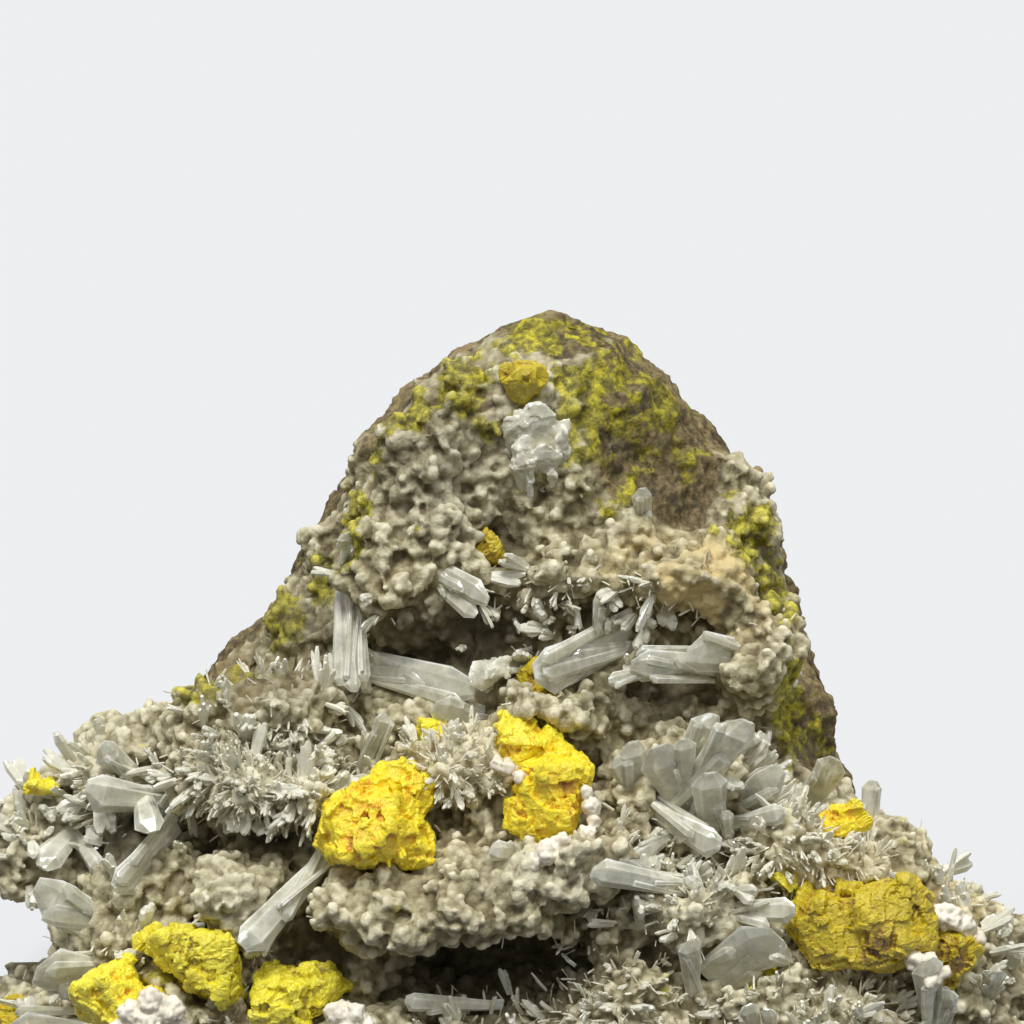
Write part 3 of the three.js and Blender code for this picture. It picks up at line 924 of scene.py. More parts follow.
@dataclass(frozen=True)
class Scatter:
    """Small shapes grown all over a surface, thick where a mask is strong."""

    mask: Mask
    per_square_mm: float
    length: tuple[float, float]
    width: tuple[float, float]
    tilt: float
    seed: int
    keep_host: bool = False

    def grow(self, host: bpy.types.Object, patterns: Sequence[bpy.types.Object]) -> None:
        """Turn the host into the shapes that grow on it, as plain mesh.

        Args:
            host: The surface, which carries the mask.
            patterns: The shapes that are repeated, one drawn at random each time.
        """
        shelf = bpy.data.collections.new("patterns")
        for pattern in patterns:
            shelf.objects.link(pattern)
        tree = bpy.data.node_groups.new("scatter", "GeometryNodeTree")
        tree.interface.new_socket("Geometry", in_out="INPUT", socket_type="NodeSocketGeometry")
        tree.interface.new_socket("Geometry", in_out="OUTPUT", socket_type="NodeSocketGeometry")
        self._wire(Graph(tree), shelf)
        Bench.only(host)
        modifier = host.modifiers.new("Scatter", "NODES")
        modifier.node_group = tree
        bpy.ops.object.modifier_apply(modifier=modifier.name)
        bpy.data.node_groups.remove(tree)
        bpy.data.collections.remove(shelf)

    def _wire(self, graph: Graph, shelf: bpy.types.Collection) -> None:
        """Fill the scatter's node tree.

        Args:
            graph: The empty tree.
            shelf: The collection of shapes.
        """
        host = graph.add("NodeGroupInput")
        mask = graph.add("GeometryNodeInputNamedAttribute", {"data_type": "FLOAT"}, {"Name": self.mask.value})
        spread = {"Mesh": host, "Density": mask * (self.per_square_mm / SQUARE_MM), "Seed": self.seed}
        points = graph.place("GeometryNodeDistributePointsOnFaces", {"distribute_method": "RANDOM"}, spread)
        lean = self._random(graph, 1, (-self.tilt, -self.tilt, -math.pi), (self.tilt, self.tilt, math.pi))
        turn = {
            "Rotation": Value(graph, points.outputs["Rotation"]),
            "Rotate By": graph.add("FunctionNodeEulerToRotation", {}, {0: lean}),
        }
        turned = graph.add("FunctionNodeRotateRotation", {"rotation_space": "LOCAL"}, turn)
        stretch = {"X": 1.0, "Y": 1.0, "Z": self._random(graph, 4, self.length[0], self.length[1], "FLOAT")}
        girth = self._random(graph, 2, self.width[0], self.width[1], "FLOAT")
        stretch.update({"X": girth, "Y": girth})
        shapes = {"Collection": shelf, "Separate Children": True, "Reset Children": True}
        grown = {
            "Points": Value(graph, points.outputs["Points"]),
            "Instance": graph.add("GeometryNodeCollectionInfo", {}, shapes),
            "Pick Instance": True,
            "Instance Index": self._random(graph, 3, 0, 1000, "INT"),
            "Rotation": turned,
            "Scale": graph.add("ShaderNodeCombineXYZ", {}, stretch),
        }
        shapes_out = graph.add("GeometryNodeInstanceOnPoints", {}, grown)
        solid = graph.add("GeometryNodeRealizeInstances", {}, {"Geometry": shapes_out})
        if self.keep_host:
            join = graph.place("GeometryNodeJoinGeometry", {}, {})
            graph.tree.links.new(solid.socket, join.inputs[0])
            graph.tree.links.new(host.socket, join.inputs[0])
            solid = Value(graph, join.outputs[0])
        graph.place("NodeGroupOutput", {}, {0: solid})

    def _random(
        self, graph: Graph, offset: int, low: object, high: object, kind: str = "FLOAT_VECTOR"
    ) -> Value:
        """Add a random value.

        Args:
            graph: The tree.
            offset: Tells this value's seed from the scatter's others.
            low: Its least value.
            high: Its greatest value.
            kind: Its data type.

        Returns:
            The random value.
        """
        node = graph.place("FunctionNodeRandomValue", {"data_type": kind}, {})
        settings = {"Min": low, "Max": high, "Seed": self.seed * 10 + offset}
        for socket in node.inputs:
            if socket.enabled and socket.name in settings:
                socket.default_value = settings[socket.name]
        return Value(graph, next(socket for socket in node.outputs if socket.enabled))


# ---------------------------------------------------------------- celestine
@dataclass(frozen=True)
class Blade:
    """A large celestine crystal, from its root to its tip, in millimetres."""

    root: Triple
    tip: Triple
    wide: float
    thick: float
    roll: float
    point: float
    mates: int = 2

    def frame(self) -> tuple[Vector, Vector, Vector, float]:
        """Return the directions across, out of its broad face and along, and the length."""
        root, tip = Vector(self.root), Vector(self.tip)
        along = (tip - root).normalized()
        across = -Vector((0, -1, 0)).cross(along).normalized()
        across.rotate(Quaternion(along, math.radians(self.roll)))
        return across, along.cross(across), along, (tip - root).length


CELESTINE: dict[str, tuple[Blade, ...]] = {
    "fan": (
        Blade((16, -18, 35), (14.2, -23, 46), 3, 1.8, 12, 0.6, 3),
        Blade((22, -19, 36), (17.2, -25.5, 46.2), 5, 2, -8, 1.6, 2),
        Blade((18.4, -19, 36), (26.4, -27, 49.4), 3.8, 3, 14, 1.6, 2),
        Blade((18, -18, 37), (22.8, -24.6, 49.6), 2.8, 2, 8, 1.4, 1),
        Blade((23.4, -20, 34), (22.6, -27, 43.6), 3.4, 2.2, 4, 1.2, 2),
        Blade((16.5, -21, 38), (23.8, -28.5, 35.6), 3, 2, 10, 1, 2),
        Blade((23, -18, 34.6), (31, -23.4, 42.8), 3.4, 1.4, -10, 3, 4),
        Blade((20.4, -21, 36.6), (14.4, -27.6, 34.0), 1.8, 1.2, 6, 0.8, 1),
        Blade((24.4, -20, 35.8), (30.8, -26.6, 39.2), 2.0, 1.4, -12, 0.9, 1),
        Blade((20.4, -20, 37.0), (20.0, -26.4, 47.2), 2.2, 1.4, 16, 1.0, 1),
    ),
    "long_blades": (
        Blade((33.4, -9, 51.8), (20.6, -17, 55), 3.9, 1.6, 4, 1.8, 5),
        Blade((24, -12, 52.4), (14.4, -19, 53.6), 3.2, 1.8, -6, 2, 4),
        Blade((18, -15, 52.6), (12, -20.4, 52.2), 1.5, 1.2, 10, 0.8, 1),
    ),
    "middle_plate": (
        Blade((14.6, -9, 55.4), (4, -19, 52.2), 4.6, 1.5, -8, 1.2, 4),
        Blade((12, -9, 58), (10.4, -16, 58.6), 4.4, 1.6, 20, 1, 3),
    ),
    "upper_pair": (
        Blade((-8.6, -10, 64), (-1, -18, 60.8), 2.4, 1.4, 8, 2, 3),
        Blade((-8.6, -10, 62.4), (-2.4, -17, 58.8), 1.7, 1.2, -10, 1.2, 2),
    ),
    "hanging_bundle": (
        Blade((-17.6, -9.6, 60), (-17.4, -15.4, 50.6), 1.5, 1.2, 14, 0.7, 1),
        Blade((-16.5, -9.6, 60), (-16, -15.8, 50), 1.6, 1.2, -8, 0.7, 1),
        Blade((-15.4, -9.6, 60), (-14.8, -15, 51), 1.4, 1.2, 4, 0.6, 1),
    ),
    "left_blade": (Blade((-16, -8.6, 52.4), (-2.6, -16.4, 49.8), 3.9, 1.5, 0, 3.4, 2),),
    "centre_left_block": (Blade((3.4, -10, 52.6), (-3.2, -17.6, 51.8), 3, 1.8, 12, 0.8, 3),),
    "leaning_slab": (Blade((0.4, -11.6, 44.8), (-7, -18.4, 49), 3, 1.4, 4, 1.4, 2),),
    "druse_pair": (Blade((-15.6, -14.6, 39), (-12.2, -18.8, 48.2), 1.6, 1.3, 10, 0.8, 2),),
    "druse_single": (Blade((-9.8, -14, 39.6), (-9.9, -18.6, 46.8), 1.6, 1.3, 0, 0.8, 1),),
    "shelf_end_prism": (Blade((-18, -21.6, 33.6), (-27.2, -31.4, 25.4), 3.1, 2.5, 6, 1.2, 2),),
    "limb_block": (
        Blade((-36.6, -14.6, 37.4), (-44.8, -21.6, 40.2), 3.6, 3, 10, 1.4, 1),
        Blade((-39.4, -15, 39), (-37.6, -23, 36), 2.8, 2.2, -16, 0.8, 1),
        Blade((-39.6, -13, 39.6), (-43.6, -18.4, 44.4), 2.6, 2, 14, 0.7, 1),
    ),
    "limb_end_block": (
        Blade((-46.6, -12, 34), (-50.2, -19.2, 31.2), 3.1, 2.8, 30, 0.5, 0),
        Blade((-47.6, -12.4, 34), (-43.6, -19, 30.8), 1.8, 1.5, 0, 1, 1),
    ),
    "curved_plate": (Blade((-35.4, -16.6, 35.4), (-41.4, -24.4, 29.8), 3.2, 1.3, -20, 0.9, 2),),
    "notch_plate": (Blade((-40, -18.6, 23.2), (-50.6, -22.6, 29.4), 4, 1.7, 8, 2.6, 3),),
    "broad_left_plate": (Blade((-43, -21, 19.8), (-50, -26, 21.6), 4.4, 1.7, -6, 1.6, 3),),
    "left_corner_slab": (Blade((-44.6, -21, 12.8), (-53.8, -26.4, 14.6), 4.4, 2, -12, 1.6, 3),),
    "shelf_stub": (Blade((3.6, -24.6, 33.8), (-0.8, -31, 36.2), 2, 1.6, 14, 0.6, 1),),
    "shelf_prism": (Blade((22.4, -24.6, 29.8), (10, -33.6, 34.6), 2.6, 2, 6, 1.4, 3),),
    "cross_bar": (Blade((22.6, -25, 27.8), (31.8, -30.6, 29.4), 2.4, 1.8, -12, 0.6, 2),),
    "broad_plate": (Blade((22.4, -25.6, 20.8), (30, -31.6, 26.8), 5.4, 1.3, 10, 2, 2),),
    "upright_prism": (Blade((21.2, -26, 17.6), (20.4, -32.6, 26.6), 2.3, 1.9, 20, 0.9, 2),),
    "lower_twins": (
        Blade((28.4, -26.6, 12.6), (26.6, -34.4, 20), 1.9, 1.5, 10, 1, 1),
        Blade((29.8, -26.6, 12.6), (28.8, -34, 19.4), 1.5, 1.2, -14, 0.8, 1),
    ),
    "hollow_bar": (Blade((0.4, -24, 16.8), (-10, -31, 19.4), 1.8, 1.5, 0, 0.7, 1),),
    "right_prism": (
        Blade((47.6, -24, 13.4), (45.6, -33.6, 24.8), 3, 2.3, 12, 1.6, 2),
        Blade((48.6, -24, 13.8), (48.2, -31.6, 20.8), 2, 1.5, -14, 1, 1),
    ),
    "right_end_prism": (Blade((53.2, -20.6, 16), (54, -27.6, 21.8), 2, 1.6, 10, 1.2, 2),),
    "slope_prism": (Blade((34.4, -13, 36.4), (36.8, -18.6, 43.2), 2.9, 1.6, -10, 1.2, 2),),
    "skyline_prism": (Blade((41, -9.4, 32.6), (41.6, -10.4, 38.8), 1.9, 1.6, 0, 0.5, 1),),
    "peak_block": (
        Blade((4.6, -6.4, 71.8), (3.8, -9.8, 81.0), 4.2, 2.8, 8, 0.6, 3),
        Blade((2.6, -6.4, 73.4), (1.2, -9.2, 79.6), 2.4, 2.0, -14, 0.5, 2),
        Blade((6.4, -6.4, 72.6), (7.0, -9.0, 79.2), 2.4, 2.2, 20, 0.5, 2),
        Blade((5.4, -7.2, 71.0), (5.2, -10.8, 76.6), 3.2, 1.8, 0, 0.6, 2),
        Blade((3.6, -7.2, 70.8), (2.4, -10.4, 75.4), 2.2, 1.6, 10, 0.4, 1),
    ),
    "rim_block": (Blade((-16.4, -6.6, 61.6), (-16.8, -13.4, 67.4), 2.2, 1.8, 14, 0.7, 1),),
    "upper_spike": (Blade((16.4, -6.6, 66), (15.6, -11, 71.8), 1.9, 1.4, 0, 1.2, 1),),
}
CENTRING = np.array((0.536, 0.727, 0.0))


@dataclass
class CelestineCrystals:
    """The large celestine crystals: each is a blade with thinner blades grown parallel to it."""

    crown: tuple[float, float] = (0.38, 0.14)
    grooves: float = 0.036
    groove_least: float = 0.12
    groove_share: float = 0.1
    massive: tuple[str, ...] = ("peak_block", "rim_block", "centre_left_block")
    broad: float = 1.2
    flat: float = 0.9
    slimming: float = 7.0
    root_width: float = 0.5
    skew: float = 0.2
    mate_width: tuple[float, float] = (0.22, 0.55)
    mate_thickness: tuple[float, float] = (0.4, 0.9)
    mate_length: tuple[float, float] = (0.5, 0.97)
    mate_offset: tuple[float, float] = (0.15, 0.6)
    mate_rise: tuple[float, float] = (-0.6, 0.5)
    mate_lean: tuple[float, float] = (0.0, 0.26)
    mate_skew: tuple[float, float] = (-0.3, 0.3)
    block_voxel: float = 0.22 * MM
    block_steps: tuple[Emboss, ...] = (
        Emboss("VORONOI", 3.2 * MM, 1.0 * MM, traits=BLOCKS),
        Emboss("VORONOI", 1.1 * MM, 0.3 * MM, traits=BLOCKS),
    )
    blades: dict[str, tuple[Blade, ...]] = field(default_factory=lambda: CELESTINE)

    def build(self) -> None:
        """Model, dress and tie every large celestine crystal."""
        clear = CelestineFinish("celestine").build()
        massive = CelestineFinish(
            "milky_celestine", milk=(0.92, 0.90, 0.73), haze=(0.80, 0.78, 0.62), tip_milk=0.8, root_milk=0.9
        )
        milky = massive.build()
        chance = np.random.default_rng(5)
        for name, blades in self.blades.items():
            members = []
            for blade in blades:
                skew = chance.uniform(-self.skew, self.skew)
                members.append(self._blade(blade, blade.wide, blade.thick, 1.0, (0, 0), 0.0, skew))
                for _ in range(blade.mates * 2):
                    members.append(self._mate(blade, chance))
            Bench.only(members[0])
            for member in members:
                member.select_set(True)
            bpy.ops.object.join()
            piece = bpy.context.view_layer.objects.active
            piece.name = f"celestine_{name}_grown"
            if name in self.massive:
                self._cleave(piece)
            Bench.dress(piece, milky if name in self.massive else clear, smooth=False)
            Bench.declare(piece, "celestine", f"celestine_{name}")

    def _cleave(self, piece: bpy.types.Object) -> None:
        """Fuse a group of blades into one uneven block with broken steps on it.

        Args:
            piece: The group.
        """
        Bench.shape(piece, "REMESH", mode="VOXEL", voxel_size=self.block_voxel)
        for step in self.block_steps:
            step.press(piece)
        Bench.shape(piece, "SMOOTH", factor=0.5, iterations=1)

    def _mate(self, blade: Blade, chance: np.random.Generator) -> bpy.types.Object:
        """Grow a thinner crystal beside a blade, nearly parallel to it.

        Args:
            blade: The blade.
            chance: The source of random numbers.

        Returns:
            The thinner crystal.
        """
        side = chance.choice((-1, 1))
        wide = blade.wide * chance.uniform(*self.mate_width)
        thick = blade.thick * chance.uniform(*self.mate_thickness)
        across = side * blade.wide * chance.uniform(*self.mate_offset)
        beside = (across, blade.thick * chance.uniform(*self.mate_rise))
        lean = side * chance.uniform(*self.mate_lean)
        reach = chance.uniform(*self.mate_length)
        return self._blade(blade, wide, thick, reach, beside, lean, chance.uniform(*self.mate_skew))

    def _blade(
        self,
        blade: Blade,
        wide: float,
        thick: float,
        reach: float,
        beside: tuple[float, float],
        lean: float,
        skew: float,
    ) -> bpy.types.Object:
        """Model one striated blade in its place.

        Args:
            blade: Gives the place and direction.
            wide: Width in millimetres.
            thick: Thickness in millimetres.
            reach: Length as a share of the blade's own.
            beside: How far it stands off across and out of the blade, in millimetres.
            lean: Angle that it leans outwards by.
            skew: How far its chisel edge lies off the middle, as a share of its width.

        Returns:
            The crystal.
        """
        across, out, along, length = blade.frame()
        length *= reach
        point = min(max(blade.point * wide / blade.wide, 0.5 * wide), length * 0.4)
        squash = 1 / self.slimming
        shaft = (length - point) * squash * MM
        bpy.ops.object.select_all(action="DESELECT")
        middle = (0, 0, shaft / 2)
        bpy.ops.mesh.primitive_cylinder_add(vertices=6, radius=0.5 * MM, depth=shaft, location=middle)
        piece = bpy.context.view_layer.objects.active
        piece.rotation_euler.z = math.pi / 6
        bpy.ops.object.transform_apply(location=True, rotation=True, scale=True)
        bpy.ops.object.mode_set(mode="EDIT")
        bpy.ops.mesh.select_all(action="SELECT")
        bpy.ops.transform.resize(value=(wide * self.broad, thick * self.flat, 1), center_override=(0, 0, 0))
        bpy.ops.mesh.select_all(action="DESELECT")
        bpy.ops.object.mode_set(mode="OBJECT")
        for face in piece.data.polygons:
            face.select = face.normal.z < -0.9
        bpy.ops.object.mode_set(mode="EDIT")
        bpy.ops.transform.resize(value=(self.root_width, self.root_width, 1), center_override=(0, 0, 0))
        bpy.ops.mesh.select_all(action="DESELECT")
        bpy.ops.object.mode_set(mode="OBJECT")
        for face in piece.data.polygons:
            face.select = face.normal.z > 0.9
        bpy.ops.object.mode_set(mode="EDIT")
        bpy.ops.mesh.extrude_region_move(TRANSFORM_OT_translate={"value": (0, 0, point * squash * MM)})
        bpy.ops.transform.resize(value=(*self.crown, 1), center_override=(0, 0, length * squash * MM))
        bpy.ops.transform.translate(value=(skew * wide * MM, 0, 0))
        bpy.ops.object.mode_set(mode="OBJECT")
        Bench.shape(piece, "SUBSURF", subdivision_type="SIMPLE", levels=2, render_levels=2)
        pitch = max(self.groove_least, wide * self.groove_share) * MM
        grooves = Emboss("CLOUDS", pitch, thick * self.grooves * MM)
        shift = Vector(blade.root) * 0.37 * MM
        piece.data.transform(Matrix4.Translation(shift))
        grooves.press(piece, direction="Y")
        piece.data.transform(Matrix4.Translation(-shift))
        piece.data.transform(Matrix4.Diagonal((1, 1, self.slimming, 1)))
        heights = Bench.corners(piece)[:, 2]
        Bench.paint(piece, "root", 1 - fade(heights, 0.15 * length, 0.75 * length))
        turned = Quaternion(out, -lean)
        place = Matrix4((across, out, along)).transposed()
        place = (turned.to_matrix() @ place).to_4x4()
        middle = Vector(blade.root) + across * beside[0] + out * beside[1] + Vector(CENTRING)
        place.translation = middle * MM
        piece.matrix_world = place
        Bench.only(piece)
        bpy.ops.object.transform_apply(location=True, rotation=True, scale=True)
        return piece


# ---------------------------------------------------------------- matrix
@dataclass(frozen=True)
class KnobCoat:
    """One generation of knobs: how thick, how large, and how finely they are fused to what they grew on."""

    per_square_mm: float
    radius: tuple[float, float]
    voxel: float
    seed: int


@dataclass
class Matrix:
    """The limestone with the crust that grew on it."""

    rock_voxel: float = 1.0 * MM
    knob_waves: tuple[float, ...] = (0.8, 1.1, 1.4, 1.7)
    knob_tilt: float = 0.5
    relief_rounds: int = 18
    relief_gain: float = 1.9
    relief_level: float = 0.45
    lump_rounds: int = 110
    lump_gain: float = 0.42
    lump_level: float = 0.5
    coats: tuple[KnobCoat, ...] = (
        KnobCoat(0.03, (1.2, 2.2), 0.8 * MM, 11),
        KnobCoat(0.14, (0.75, 1.3), 0.5 * MM, 12),
        KnobCoat(0.42, (0.45, 0.85), 0.3 * MM, 13),
    )
    druse_voxel: float = 1.4 * MM
    shrink: float = 1.1 * MM
    standing: float = 2.2
    least_fuzz: float = 0.008
    rooted: float = 0.28
    cuts_x: tuple[float, ...] = (-38.0 * MM, -22.0 * MM, -7.0 * MM, 8.0 * MM, 23.0 * MM, 37.0 * MM)
    cut_y: float = 1.0 * MM
    back_share: float = 0.35
    bare: tuple[Zone, ...] = (
        Zone((19, -4, 78), (12, 9, 15)),
        Zone((9, -4, 89), (9, 9, 5), 0.5),
        Zone((37, -2, 47), (6, 16, 13)),
        Zone((-31, -2, 52), (5, 6, 6)),
        Zone((-14, -3, 78), (5, 6, 8), 0.5),
    )
    stain: tuple[Zone, ...] = (
        Zone((14, -4, 80), (22, 14, 16), 0.5, 0.55),
        Zone((4, -3, 90), (12, 9, 6), 0.6, 1.0),
        Zone((-4, -6, 84), (7, 8, 7), 0.6, 0.95),
        Zone((-10.6, -6, 80.6), (6, 8, 7), 0.6, 1.1),
        Zone((-14.6, -7, 75.4), (4, 8, 6), 0.6, 0.8),
        Zone((1.6, -8, 86), (5, 6, 5), 0.6, 0.8),
        Zone((9.6, -7, 81), (4, 7, 11), 0.5, 0.85),
        Zone((17.6, -6, 79), (6, 7, 8), 0.7, 0.75),
        Zone((24, -6, 73), (7, 6, 5), 0.6, 0.9),
        Zone((29.4, -6, 65.6), (4.6, 12, 5), 0.6, 1.3),
        Zone((32.6, -5, 60), (4.6, 12, 6), 0.6, 1.3),
        Zone((33, -9, 48), (3.6, 10, 10), 0.5, 0.95),
        Zone((36.6, -6, 44), (3.6, 8, 9), 0.7, 0.65),
        Zone((24, -10, 68.5), (6, 8, 3.4), 0.7, 0.8),
        Zone((-17.6, -8, 68), (5, 10, 7), 0.5, 2.0),
        Zone((-21, -7, 61), (5, 9, 6), 0.6, 1.2),
        Zone((-26, -4, 56.4), (6, 9, 5), 0.6, 1.5),
        Zone((-31.6, -8, 51.5), (7, 12, 5.4), 0.6, 2.0),
        Zone((34, -24, 29), (6, 6, 4), 0.7, 0.5),
        Zone((-52, -18, 17), (5, 8, 4), 0.7, 0.6),
        Zone((-36, -26, 20), (9, 6, 6), 0.7, 0.45),
    )
    # Zones of hollows that are painted dark as shade; knobs and druse also grow thinner there.
    cavity: tuple[Zone, ...] = (
        Zone((0, -22, 21), (16, 13, 7), 0.5),
        Zone((-18, -22, 23.6), (7, 7, 6), 0.6, 0.9),
        Zone((-24, -21, 35.4), (8, 8, 3.6), 0.6, 0.9),
        Zone((-40, -18, 33.4), (5, 7, 5), 0.6, 0.95),
        Zone((-4, -13, 55), (13, 10, 6.4), 0.5, 1.0),
        Zone((18, -15, 49.5), (10, 9, 4.5), 0.6, 0.9),
        Zone((1, -8, 65.6), (5, 5, 4.4), 0.6, 0.85),
        Zone((11, -12, 41), (4, 7, 5), 0.7, 0.7),
        Zone((27, -22, 36), (4, 5, 5), 0.8, 0.6),
        Zone((-24, -12, 52), (11, 14, 10), 0.8, 0.75),
        Zone((17, -24, 25), (5, 7, 5), 0.7, 0.8),
        Zone((-6, -6, 76), (12, 12, 15), 0.8, 0.3),
        Zone((17, -4, 78), (12, 12, 12), 0.8, 0.25),
        Zone((-23, -8, 56), (13, 12, 12), 0.8, 0.6),
    )
    pale: tuple[Zone, ...] = (
        Zone((-25, -22, 42), (12, 10, 7), 0.7),
        Zone((-2, -22, 43), (10, 9, 7), 0.7, 0.9),
        Zone((35, -24, 34), (12, 10, 9), 0.7, 0.35),
        Zone((21, -26, 28), (10, 8, 6), 0.7, 0.8),
        Zone((-45, -12, 38), (14, 14, 12), 0.8, 0.7),
        Zone((6, -30, 34), (10, 8, 5), 0.7, 0.7),
        Zone((-36, -30, 15), (6, 8, 6), 0.6, 1.0),
        Zone((-28, -27, 29), (6, 8, 6), 0.8, 0.6),
        Zone((4, -8, 78), (7, 9, 9), 0.7, 0.7),
        Zone((36, -29, 15), (18, 10, 11), 0.7, 0.6),
        Zone((-5, -9, 71), (9, 8, 10), 0.8, 0.6),
    )
    tan: tuple[Zone, ...] = (
        Zone((22, -13, 62), (12, 8, 9), 0.5, 1.2),
        Zone((-3, -22, 44), (9, 8, 6), 0.8, 0.7),
        Zone((-25, -24, 38), (8, 8, 4), 0.8, 0.6),
        Zone((36, -23, 33), (12, 9, 8), 0.8, 0.5),
        Zone((50, -12, 27), (10, 12, 8), 0.8, 0.6),
        Zone((-26, -11, 51), (9, 9, 9), 0.7, 0.9),
    )
    needles: tuple[Zone, ...] = (
        Zone((-24, -22, 42), (12, 10, 6.5), 0.35),
        Zone((-5, -22, 44), (9, 9, 6), 0.5, 0.6),
        Zone((34, -24, 34), (11, 10, 8), 0.4, 0.6),
        Zone((35, -29, 16), (20, 12, 13), 0.6, 0.4),
        Zone((-44, -16, 37), (14, 10, 8), 0.6, 0.35),
        Zone((22, -24, 32), (13, 9, 8), 0.6, 0.6),
        Zone((8, -27, 17), (18, 12, 9), 0.6, 0.5),
        Zone((8, -13, 58), (17, 9, 7), 0.7, 0.35),
        Zone((-24, -16, 50), (12, 10, 8), 0.7, 0.2),
        Zone((-36, -27, 18), (22, 10, 13), 0.7, 0.4),
        Zone((47, -16, 27), (8, 10, 6), 0.7, 0.1),
    )
    prisms: tuple[Zone, ...] = (
        Zone((-46, -14, 36), (14, 14, 10), 0.5),
        Zone((-46, -24, 16), (13, 10, 13), 0.6, 0.9),
        Zone((-26, -21, 43), (14, 10, 8), 0.6, 0.7),
        Zone((26, -20, 39), (12, 9, 10), 0.6, 0.9),
        Zone((34, -29, 12), (20, 10, 12), 0.6, 0.7),
        Zone((6, -13, 56), (20, 9, 8), 0.6, 0.8),
        Zone((-18, -12, 55), (8, 9, 8), 0.6, 0.7),
        Zone((6, -27, 15), (18, 10, 8), 0.6, 0.6),
        Zone((52, -14, 24), (8, 12, 10), 0.6, 0.7),
        Zone((18, -26, 30), (9, 7, 6), 0.6, 0.9),
    )
    shelf: tuple[Zone, ...] = (
        Zone((-8, -31, 30), (18, 8, 7), 0.3),
        Zone((7, -30, 32), (10, 7, 6), 0.3),
        Zone((-28, -27, 30), (7, 7, 7), 0.4),
    )
    trim: Zone = Zone((36, -9, 60.5), (7, 13, 7), 0.7)
    trim_depth: float = 2.6 * MM
    calmer_upwards: tuple[tuple[float, ...], ...] = ((0, 58, 80, 88), (1.0, 0.9, 0.5, 0.3))
    swellings: tuple[Emboss, ...] = (
        Emboss("CLOUDS", 6.5 * MM, 5.0 * MM),
        Emboss("CLOUDS", 3.2 * MM, 2.4 * MM),
    )
    roughness: tuple[tuple[str, Emboss], ...] = (
        ("rock", Emboss("VORONOI", 8.0 * MM, 2.6 * MM, traits=FACETS)),
        ("rock", Emboss("VORONOI", 2.6 * MM, 1.2 * MM, traits=FACETS)),
        ("rock", Emboss("CLOUDS", 0.9 * MM, 0.7 * MM)),
        ("large", Emboss("VORONOI", 2.3 * MM, -1.3 * MM, 0.3, DOMES)),
        ("small", Emboss("VORONOI", 1.15 * MM, -0.8 * MM, 0.3, DOMES)),
        ("large", Emboss("CLOUDS", 0.6 * MM, 0.45 * MM)),
        ("small", Emboss("CLOUDS", 1.4 * MM, 0.7 * MM)),
    )
    pieces: list[bpy.types.Object] = field(default_factory=list)
    host: bpy.types.Object | None = None

    def build(self) -> None:
        """Model the matrix: swelled rock, coats of knobs fused on, then roughened, marked and cut."""
        whole = Bench.copy("matrix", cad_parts[MATRIX_NODE])
        Bench.shape(whole, "REMESH", mode="VOXEL", voxel_size=self.rock_voxel)
        Bench.shape(whole, "SMOOTH", factor=0.5, iterations=3)
        self._swell(whole)
        waves = enumerate(self.knob_waves)
        knobs = [KnobPattern(f"knob_{number}", wave=wave).model() for number, wave in waves]
        for coat in self.coats:
            self._seed(whole)
            radius = coat.radius
            scatter = Scatter(Mask.KNOBS, coat.per_square_mm, radius, radius, self.knob_tilt, coat.seed, True)
            scatter.grow(whole, knobs)
            Bench.shape(whole, "REMESH", mode="VOXEL", voxel_size=coat.voxel)
        for knob in knobs:
            bpy.data.objects.remove(knob)
        Bench.shape(whole, "SMOOTH", factor=0.5, iterations=2)
        self._roughen(whole)
        # Relief and lumps say how far the surface stands out; the crust's colour uses them to paint shade
        # into pits and hollows.
        relief = Bench.relief(whole, self.relief_rounds) * self.relief_gain + self.relief_level
        Bench.paint(whole, Mask.RELIEF.value, relief)
        lumps = Bench.relief(whole, self.lump_rounds) * self.lump_gain + self.lump_level
        Bench.paint(whole, Mask.LUMPS.value, lumps)
        self._mark(whole)
        self._host(whole)
        self._split(whole)

    def _seed(self, surface: bpy.types.Object) -> None:
        """Paint where knobs may grow.

        Args:
            surface: What they grow on.
        """
        corners = Bench.corners(surface)
        open_ground = (1 - 0.85 * strongest(self.cavity, corners)) * (1 - self._seats(corners))
        crust = fade(self._crust(corners), 0.4, 0.9)
        Bench.paint(surface, Mask.KNOBS.value, crust * open_ground * fade(corners[:, 2], 87, 80))

    def _crust(self, corners: np.ndarray) -> np.ndarray:
        """Say where crust covers the rock.

        Args:
            corners: Places in millimetres.

        Returns:
            1 on crust, 0 on bare rock.
        """
        edge = np.interp(corners[:, 2], (0, 30, 45, 60, 90), (10, 6, -2, 2, 2))
        edge += 5 * fade(-corners[:, 0], 8, 18) * fade(corners[:, 2], 38, 48) * fade(corners[:, 2], 80, 70)
        edge += 6 * fade(corners[:, 0], 20, 27) * fade(corners[:, 2], 50, 56) * fade(corners[:, 2], 76, 69)
        front = fade(edge - corners[:, 1], -4, 5)
        return front * (1 - strongest(self.bare, corners)) * fade(corners[:, 2], 1, 6)

    def _swell(self, whole: bpy.types.Object) -> None:
        """Give the plain rock its lumps and hollows, except where crystals are seated and on the sawn flat.

        Args:
            whole: The matrix.
        """
        corners = Bench.corners(whole)
        free = fade(corners[:, 2], 0.5, 6) * (1 - 0.9 * self._seats(corners))
        free *= 1 - 0.7 * strongest(self.shelf, corners)
        free *= np.interp(corners[:, 2], *self.calmer_upwards)
        Bench.group(whole, "free", free)
        Bench.shape(whole, "DISPLACE", strength=-self.shrink, mid_level=0.0, vertex_group="free")
        for swelling in self.swellings:
            swelling.press(whole, vertex_group="free")
        Bench.group(whole, "trim", self.trim.weight(corners))
        Bench.shape(whole, "DISPLACE", strength=-self.trim_depth, mid_level=0.0, vertex_group="trim")
        Bench.only(whole)
        bpy.ops.object.vertex_group_remove(all=True)

